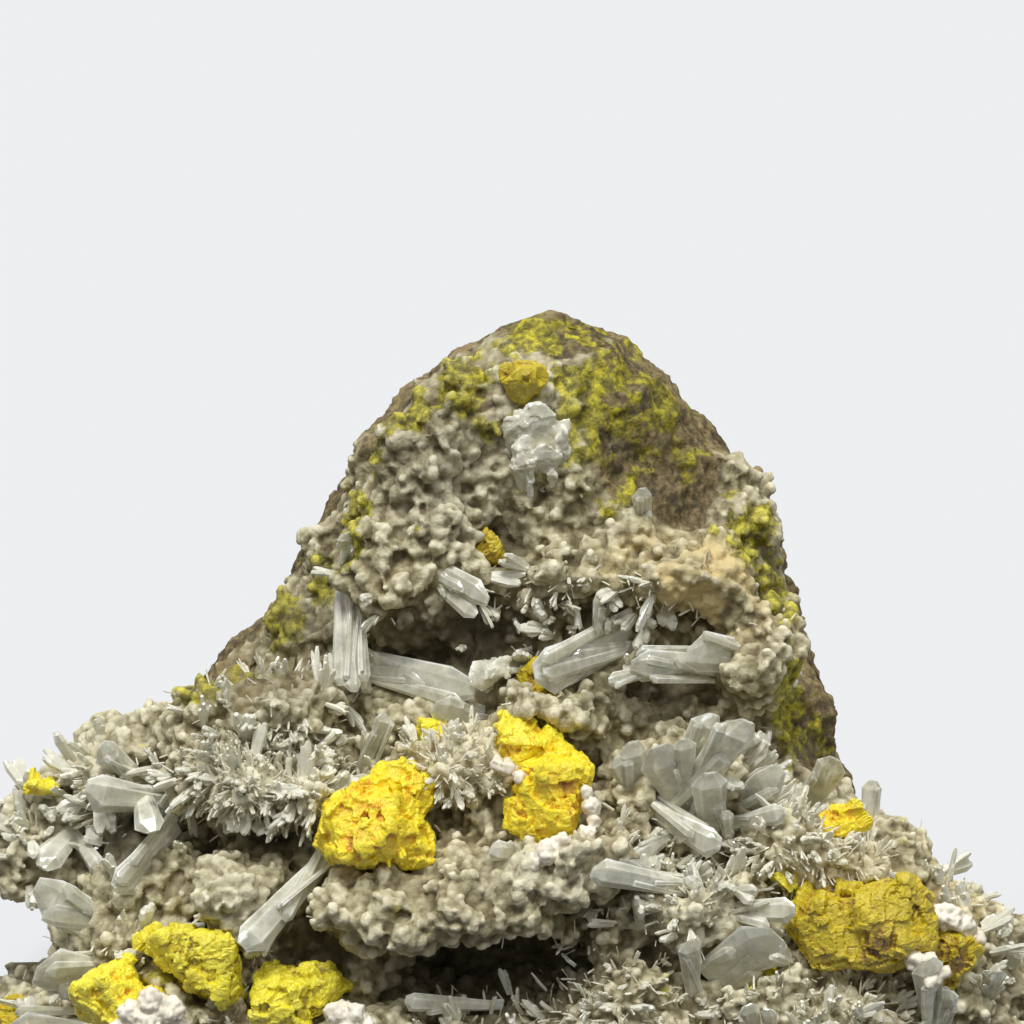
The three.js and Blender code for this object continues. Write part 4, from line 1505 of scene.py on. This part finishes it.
    def _roughen(self, whole: bpy.types.Object) -> None:
        """Raise fine relief: craggy and granular on rock, slight on crust, none on the sawn flat.

        Args:
            whole: The matrix.
        """
        corners = Bench.corners(whole)
        crust = self._crust(corners)
        standing = fade(corners[:, 2], 0.3, self.standing)
        across = np.sin(corners[:, 0] / 3.1 + corners[:, 2] / 5.3)
        waves = across * np.sin(corners[:, 1] / 3.7 - corners[:, 2] / 3.3)
        large = fade(waves, -0.5, 0.4)
        Bench.group(whole, "rock", (1 - crust) * standing * fade(corners[:, 2], 93, 86))
        Bench.group(whole, "large", crust * standing * large)
        Bench.group(whole, "small", crust * standing * (1 - 0.6 * large))
        for area, wave in self.roughness:
            wave.press(whole, vertex_group=area)
        Bench.only(whole)
        bpy.ops.object.vertex_group_remove(all=True)

    def _mark(self, whole: bpy.types.Object) -> None:
        """Paint the masks that colour the matrix, among them the hollows that are painted dark as shade.

        Args:
            whole: The matrix.
        """
        corners = Bench.corners(whole)
        Bench.paint(whole, Mask.BARE.value, 1 - self._crust(corners))
        Bench.paint(whole, Mask.STAIN.value, strongest(self.stain, corners))
        Bench.paint(whole, Mask.CAVITY.value, strongest(self.cavity, corners))
        Bench.paint(whole, Mask.PALE.value, strongest(self.pale, corners))
        Bench.paint(whole, Mask.TAN.value, strongest(self.tan, corners))

    def _host(self, whole: bpy.types.Object) -> None:
        """Make the smooth surface that the druse is rooted in, just under the crust.

        Args:
            whole: The matrix.
        """
        host = Bench.twin(whole, "druse_host")
        Bench.shape(host, "REMESH", mode="VOXEL", voxel_size=self.druse_voxel)
        Bench.shape(host, "SMOOTH", factor=0.5, iterations=3)
        corners = Bench.corners(host)
        clear = self._crust(corners) * (1 - strongest(self.cavity, corners) * 0.9)
        clear *= 1 - self._seats(corners)
        clear *= fade(corners[:, 2], 72, 64) * fade(corners[:, 1], -5, -11) * fade(corners[:, 2], 3, 8)
        plain = strongest(self.shelf, corners)
        needles = strongest(self.needles, corners)
        Bench.paint(host, Mask.NEEDLES.value, clear * needles * (1 - plain))
        Bench.paint(host, Mask.PRISMS.value, clear * strongest(self.prisms, corners) * (1 - plain))
        Bench.paint(host, Mask.GRAINS.value, clear * np.maximum(needles, self.least_fuzz) * (1 - 0.9 * plain))
        self.host = host

    def _seats(self, corners: np.ndarray) -> np.ndarray:
        """Say where large crystals stand, so that nothing grows through them.

        Args:
            corners: Places in millimetres.

        Returns:
            1 at a large crystal, 0 away from all of them.
        """
        seats = []
        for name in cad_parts:
            if name.startswith("sulfur"):
                low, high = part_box(name)
                seats.append(Zone(tuple((low + high) / 2 / MM), tuple((high - low) / 2 / MM * 1.15), 0.15))
        taken = strongest(seats, corners)
        for blade in (blade for blades in CELESTINE.values() for blade in blades):
            root, tip = np.array(blade.root) + CENTRING, np.array(blade.tip) + CENTRING
            span = tip - root
            share = np.clip((corners - root) @ span / (span @ span), self.rooted, 1.0)
            away = np.linalg.norm(corners - root - share[:, None] * span, axis=1)
            taken = np.maximum(taken, 1 - fade(away, blade.wide * 0.5, blade.wide * 0.5 + 1.6))
        return taken

    def _split(self, whole: bpy.types.Object) -> None:
        """Cut the finished matrix into upright slices, each in a front and a back, and thin the plain backs.

        Args:
            whole: The matrix, which becomes one of them.
        """
        rest = whole
        for number, place in enumerate((*self.cuts_x, None)):
            piece = rest
            if place is not None:
                rest = Bench.twin(piece, "rest")
                self._keep(piece, 0, place, below=True)
                self._keep(rest, 0, place, below=False)
            back = Bench.twin(piece, f"matrix_back_{number}")
            piece.name = f"matrix_front_{number}"
            self._keep(piece, 1, self.cut_y, below=True)
            self._keep(back, 1, self.cut_y, below=False)
            Bench.shape(back, "DECIMATE", ratio=self.back_share)
            self.pieces += [piece, back]

    @staticmethod
    def _keep(piece: bpy.types.Object, axis: int, place: float, below: bool) -> None:
        """Cut a piece by a plane and close the cut, its border kept sharp so that it shows no dark seam.

        Args:
            piece: The piece.
            axis: 0 cuts across X, 1 across Y.
            place: Where the plane stands.
            below: True keeps the lower side.
        """
        Bench.only(piece)
        bpy.ops.object.mode_set(mode="EDIT")
        bpy.ops.mesh.select_all(action="SELECT")
        spot = [place if part == axis else 0 for part in range(3)]
        facing = [float(part == axis) for part in range(3)]
        kept = {"clear_outer": below, "clear_inner": not below}
        bpy.ops.mesh.bisect(plane_co=spot, plane_no=facing, use_fill=True, **kept)
        bpy.ops.mesh.mark_sharp()
        bpy.ops.object.mode_set(mode="OBJECT")

    def dress(self) -> None:
        """Give the matrix its finish and tie it to the frame."""
        material = LimestoneFinish().build()
        for piece in self.pieces:
            Bench.dress(piece, material, smooth=True)
            Bench.declare(piece, "limestone", MATRIX_NODE)


# ---------------------------------------------------------------- druse
THIN = CrystalPattern("thin_needle", 4, 0.15, 0.8, 0.12, (0.35, 0.6))
STOUT = CrystalPattern("stout_needle", 6, 0.25, 0.7, 0.18, (0.35, 0.7))
BLADED = CrystalPattern("bladed_needle", 6, 0.3, 0.45, 0.18, (0.4, 0.8))

PRISM = CrystalPattern("prism", 6, 0.24, 0.7, 0.16, (0.35, 0.7))
BLADE = CrystalPattern("blade", 6, 0.34, 0.4, 0.2, (0.4, 0.8))
STUB = CrystalPattern("stub", 6, 0.4, 0.7, 0.22, (0.4, 0.6))


@dataclass
class Druse:
    """The fine crystals that grew all over the crust."""

    matrix: Matrix
    sprays: tuple[SprayPattern, ...] = (
        SprayPattern("thin_spray", THIN, 6, 0.45, 3),
        SprayPattern("stout_spray", STOUT, 5, 0.42, 4),
        SprayPattern("bladed_spray", BLADED, 4, 0.4, 5),
        SprayPattern("tight_spray", STOUT, 4, 0.2, 6),
    )
    prisms: tuple[SprayPattern, ...] = (
        SprayPattern("prism_bundle", PRISM, 4, 0.3, 7),
        SprayPattern("blade_bundle", BLADE, 4, 0.45, 8),
        SprayPattern("stub_bundle", STUB, 3, 0.6, 9),
    )
    fuzz: tuple[CrystalPattern, ...] = (
        CrystalPattern("sliver", 4, 0.16, 0.8, 0.14, (0.3, 0.5)),
        CrystalPattern("splinter", 4, 0.26, 0.5, 0.2, (0.3, 0.7)),
    )

    def build(self) -> None:
        """Grow sprays, prisms and fine fuzz, dress them and tie them to the frame."""
        white = DruseFinish("white_druse", (1.0, 0.975, 0.82), (0.88, 0.84, 0.65), 0.15, 0.04).build()
        sugar = DruseFinish("sugary_druse", (0.90, 0.86, 0.71), (0.60, 0.55, 0.40)).build()
        clear = DruseFinish("clear_druse", (1.0, 0.985, 0.84), (0.88, 0.86, 0.69), 0.2, 0.03).build()
        spraying = Scatter(Mask.NEEDLES, 0.46, (1.5, 3.0), (1.6, 2.9), 0.45, 21)
        standing = Scatter(Mask.PRISMS, 0.24, (2.0, 4.6), (2.0, 4.0), 0.6, 31)
        dusting = Scatter(Mask.GRAINS, 2.4, (0.9, 1.9), (0.8, 1.7), 0.7, 41)
        runs = (
            ("sprays", self.sprays, spraying, white, "limestone"),
            ("prisms", self.prisms, standing, clear, "celestine"),
            ("fuzz", self.fuzz, dusting, sugar, "limestone"),
        )
        for name, patterns, scatter, material, slot in runs:
            shapes = [pattern.model() for pattern in patterns]
            piece = Bench.twin(self.matrix.host, f"druse_{name}")
            scatter.grow(piece, shapes)
            self._forget_masks(piece)
            Bench.dress(piece, material, smooth=False)
            Bench.declare(piece, slot)
            for shape in shapes:
                bpy.data.objects.remove(shape)
        bpy.data.objects.remove(self.matrix.host)

    @staticmethod
    def _forget_masks(piece: bpy.types.Object) -> None:
        """Drop the masks that a grown piece took over from its host.

        Args:
            piece: The grown piece.
        """
        for mask in Mask:
            layer = piece.data.attributes.get(mask.value)
            if layer:
                piece.data.attributes.remove(layer)


@dataclass
class WhiteKnobs:
    """The smooth white calcite knobs that cap the crust and the sulfur here and there."""

    voxel: float = 0.2 * MM
    swell: Emboss = Emboss("CLOUDS", 0.9 * MM, 1.3 * MM, 0.45, {"noise_depth": 3})
    chains: dict[str, tuple[tuple[Triple, float], ...]] = field(
        default_factory=lambda: {
            "under_centre": (((7.2, -30.0, 36.8), 1.1), ((5.8, -30.6, 35.9), 1.3), ((4.6, -30.4, 35.0), 1.0)),
            "beside_centre": (
                ((10.0, -26.4, 41.4), 0.7),
                ((10.6, -27.0, 40.0), 0.9),
                ((10.8, -27.2, 38.4), 0.8),
                ((10.0, -28.0, 37.2), 1.0),
                ((9.6, -28.6, 35.8), 0.9),
            ),
            "above_centre": (((1.4, -25.4, 43.8), 0.8), ((2.8, -26.2, 43.2), 0.7), ((0.4, -24.8, 44.4), 0.6)),
            "lower_left": (
                ((-36.4, -31.6, 19.8), 1.5),
                ((-34.4, -31.8, 18.8), 1.4),
                ((-38.6, -31.4, 18.4), 1.5),
                ((-36.8, -31.8, 17.2), 1.8),
                ((-39.8, -31.0, 16.2), 1.5),
                ((-33.6, -31.2, 16.6), 1.2),
            ),
            "right_cap": (
                ((47.4, -26.6, 28.0), 1.3),
                ((49.2, -26.2, 27.6), 1.5),
                ((50.8, -25.6, 26.4), 1.3),
                ((52.0, -24.8, 24.8), 1.1),
                ((45.8, -26.8, 28.2), 0.9),
            ),
            "right_foot": (
                ((46.4, -31.2, 23.6), 1.3),
                ((47.8, -30.8, 22.8), 1.0),
                ((45.0, -31.4, 24.4), 1.0),
                ((46.8, -31.6, 22.0), 1.1),
            ),
            "lower_middle": (
                ((-16.6, -30.4, 18.0), 1.4),
                ((-14.8, -30.6, 18.2), 1.1),
                ((-15.6, -30.8, 16.4), 1.5),
                ((-13.6, -30.6, 16.8), 1.0),
                ((-17.4, -30.6, 15.6), 1.1),
            ),
        }
    )

    def build(self) -> None:
        """Model, dress and tie the knobs: balls fused together and slightly roughened."""
        material = DruseFinish("white_calcite", (0.97, 0.91, 0.76), (0.80, 0.71, 0.55), 0.0, 0.45).build()
        for name, knobs in self.chains.items():
            balls = []
            for place, radius in knobs:
                bpy.ops.object.select_all(action="DESELECT")
                middle = Vector(place) * MM
                bpy.ops.mesh.primitive_ico_sphere_add(subdivisions=3, radius=radius * MM, location=middle)
                balls.append(bpy.context.view_layer.objects.active)
            for ball in balls:
                ball.select_set(True)
            bpy.ops.object.join()
            piece = bpy.context.view_layer.objects.active
            piece.name = f"white_knobs_{name}"
            bpy.ops.object.transform_apply(location=True, rotation=True, scale=True)
            Bench.shape(piece, "REMESH", mode="VOXEL", voxel_size=self.voxel)
            Bench.shape(piece, "SMOOTH", factor=0.5, iterations=3)
            self.swell.press(piece)
            Bench.dress(piece, material, smooth=True)
            Bench.declare(piece, "limestone")


# ---------------------------------------------------------------- sulfur
@dataclass
class SulfurCrystals:
    """The sulfur crystals, each swollen to fill its seat and etched."""

    voxel: float = 0.15 * MM
    swell: float = 0.35 * MM
    facets: float = 0.24
    relief_rounds: int = 45
    relief_gain: float = 1.5
    relief_level: float = 0.5
    steps: tuple[Emboss, ...] = (
        Emboss("VORONOI", 3.1 * MM, 2.1 * MM, traits=BLOCKS),
        Emboss("VORONOI", 1.3 * MM, 0.9 * MM, traits=BLOCKS),
        Emboss("VORONOI", 0.6 * MM, 0.28 * MM, traits=BLOCKS),
        Emboss("CLOUDS", 0.35 * MM, 0.12 * MM),
    )
    tones: dict[str, SulfurTone] = field(
        default_factory=lambda: {
            "sulfur_centre": SulfurTone.LEMON,
            "sulfur_left_group": SulfurTone.LEMON,
            "sulfur_lower_left": SulfurTone.LIME,
            "sulfur_lower_middle": SulfurTone.LIME,
            "sulfur_lower_left_orange": SulfurTone.AMBER,
            "sulfur_behind_centre": SulfurTone.AMBER,
            "sulfur_behind_mound": SulfurTone.AMBER,
            "sulfur_behind_broad_plate": SulfurTone.LIME,
            "sulfur_upper_hollow": SulfurTone.OCHRE,
            "sulfur_upper_right": SulfurTone.LEMON,
            "sulfur_small_right": SulfurTone.LIME,
            "sulfur_left_shoulder": SulfurTone.AMBER,
        }
    )

    def build(self) -> None:
        """Model, dress and tie every sulfur crystal."""
        materials = {tone: SulfurFinish(tone).build() for tone in SulfurTone}
        for name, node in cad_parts.items():
            if not name.startswith("sulfur"):
                continue
            piece = Bench.copy(f"{name}_etched", node)
            self._etch(piece)
            Bench.dress(piece, materials[self.tones.get(name, SulfurTone.OCHRE)], smooth=False)
            Bench.declare(piece, "sulfur", name)

    def _etch(self, piece: bpy.types.Object) -> None:
        """Roughen a crystal into blocky steps and pits, and note how far each place stands out.

        Args:
            piece: The crystal.
        """
        Bench.shape(piece, "DECIMATE", ratio=self.facets)
        Bench.shape(piece, "REMESH", mode="VOXEL", voxel_size=self.voxel)
        Bench.shape(piece, "SMOOTH", factor=0.5, iterations=2)
        Bench.shape(piece, "DISPLACE", strength=self.swell, mid_level=0.0)
        for step in self.steps:
            step.press(piece)
        Bench.shape(piece, "SMOOTH", factor=0.5, iterations=1)
        # The relief lets the sulfur finish paint shade into the crystal's recesses.
        relief = Bench.relief(piece, self.relief_rounds) * self.relief_gain + self.relief_level
        Bench.paint(piece, Mask.RELIEF.value, relief)


# ---------------------------------------------------------------- studio
@dataclass(frozen=True)
class Lamp:
    """One distant lamp: how strong, how wide, and how it is turned, both in degrees."""

    name: str
    strength: float
    spread: float
    turn: Triple


@dataclass
class Studio:
    """Pale floor, soft light and the camera."""

    target: Triple = (0.00204, -0.00927, 0.069)
    distance: float = 0.480
    elevation: float = 10.0
    view_width: float = 0.11264
    sensor: float = 36.0
    floor_half: float = 9.0
    dim: float = -0.2
    low_sky: float = 0.06
    high_sky: float = 0.74
    sky: Colour = (0.96, 0.975, 1.0)
    wall: Colour = (0.84, 0.855, 0.871)
    lamps: tuple[Lamp, ...] = (
        Lamp("key", 2.3, 22.0, (26, 0, -18)),
        Lamp("glint", 0.45, 2.0, (48, 0, 30)),
    )

    def build(self) -> None:
        """Set up floor, light and camera."""
        self._floor()
        self._light()
        self._camera()

    def _floor(self) -> None:
        """Lay the floor, larger than the view reaches."""
        bpy.ops.object.select_all(action="DESELECT")
        bpy.ops.mesh.primitive_plane_add(size=2 * self.floor_half, location=(0, 0, 0))
        floor = bpy.context.view_layer.objects.active
        floor.name = "floor"
        floor.data.materials.append(FloorFinish().build())
        floor.visible_diffuse = False

    def _light(self) -> None:
        """Hang the lights: an even sky, a broad key from above and a small one for glints."""
        world = bpy.data.worlds.new("studio")
        world.use_nodes = True
        world.node_tree.nodes.clear()
        graph = Graph(world.node_tree)
        outward = graph.add("ShaderNodeTexCoord", output="Generated")
        height = graph.add("ShaderNodeSeparateXYZ", {}, {"Vector": outward}, "Z")
        fade_up = {"Value": height, "From Min": self.dim, "From Max": 1.0}
        fade_up.update({"To Min": self.low_sky, "To Max": self.high_sky})
        glow = graph.add("ShaderNodeMapRange", {}, fade_up)
        sky = graph.add("ShaderNodeBackground", {}, {"Color": (*self.sky, 1.0), "Strength": glow})
        wall = graph.add("ShaderNodeBackground", {}, {"Color": (*self.wall, 1.0), "Strength": 1.0})
        seen = graph.add("ShaderNodeLightPath", output="Is Camera Ray")
        backdrop = graph.add("ShaderNodeMixShader", {}, {0: seen, 1: sky, 2: wall})
        graph.place("ShaderNodeOutputWorld", {}, {"Surface": backdrop})
        bpy.context.scene.world = world
        for lamp in self.lamps:
            sun = bpy.data.lights.new(lamp.name, "SUN")
            sun.energy = lamp.strength
            sun.angle = math.radians(lamp.spread)
            holder = bpy.data.objects.new(lamp.name, sun)
            holder.rotation_euler = Euler([math.radians(part) for part in lamp.turn])
            bpy.context.scene.collection.objects.link(holder)

    def _camera(self) -> None:
        """Place the camera level with the specimen's face, looking slightly down."""
        slope = math.radians(self.elevation)
        lens = bpy.data.cameras.new("camera")
        lens.sensor_width = self.sensor
        lens.lens = self.sensor * self.distance / self.view_width
        lens.clip_start = 0.01
        lens.clip_end = 30.0
        camera = bpy.data.objects.new("camera", lens)
        away = Vector((0, -math.cos(slope), math.sin(slope))) * self.distance
        camera.location = Vector(self.target) + away
        camera.rotation_euler = Euler((math.pi / 2 - slope, 0, 0))
        bpy.context.scene.collection.objects.link(camera)
        bpy.context.scene.camera = camera
        bpy.context.scene.view_settings.view_transform = "Standard"


def main() -> None:
    """Build the specimen and its studio."""
    logging.basicConfig(level=logging.INFO, format="%(name)s: %(message)s")
    matrix = Matrix()
    matrix.build()
    matrix.dress()
    Druse(matrix).build()
    WhiteKnobs().build()
    SulfurCrystals().build()
    CelestineCrystals().build()
    Studio().build()


if __name__ == "__main__":
    main()
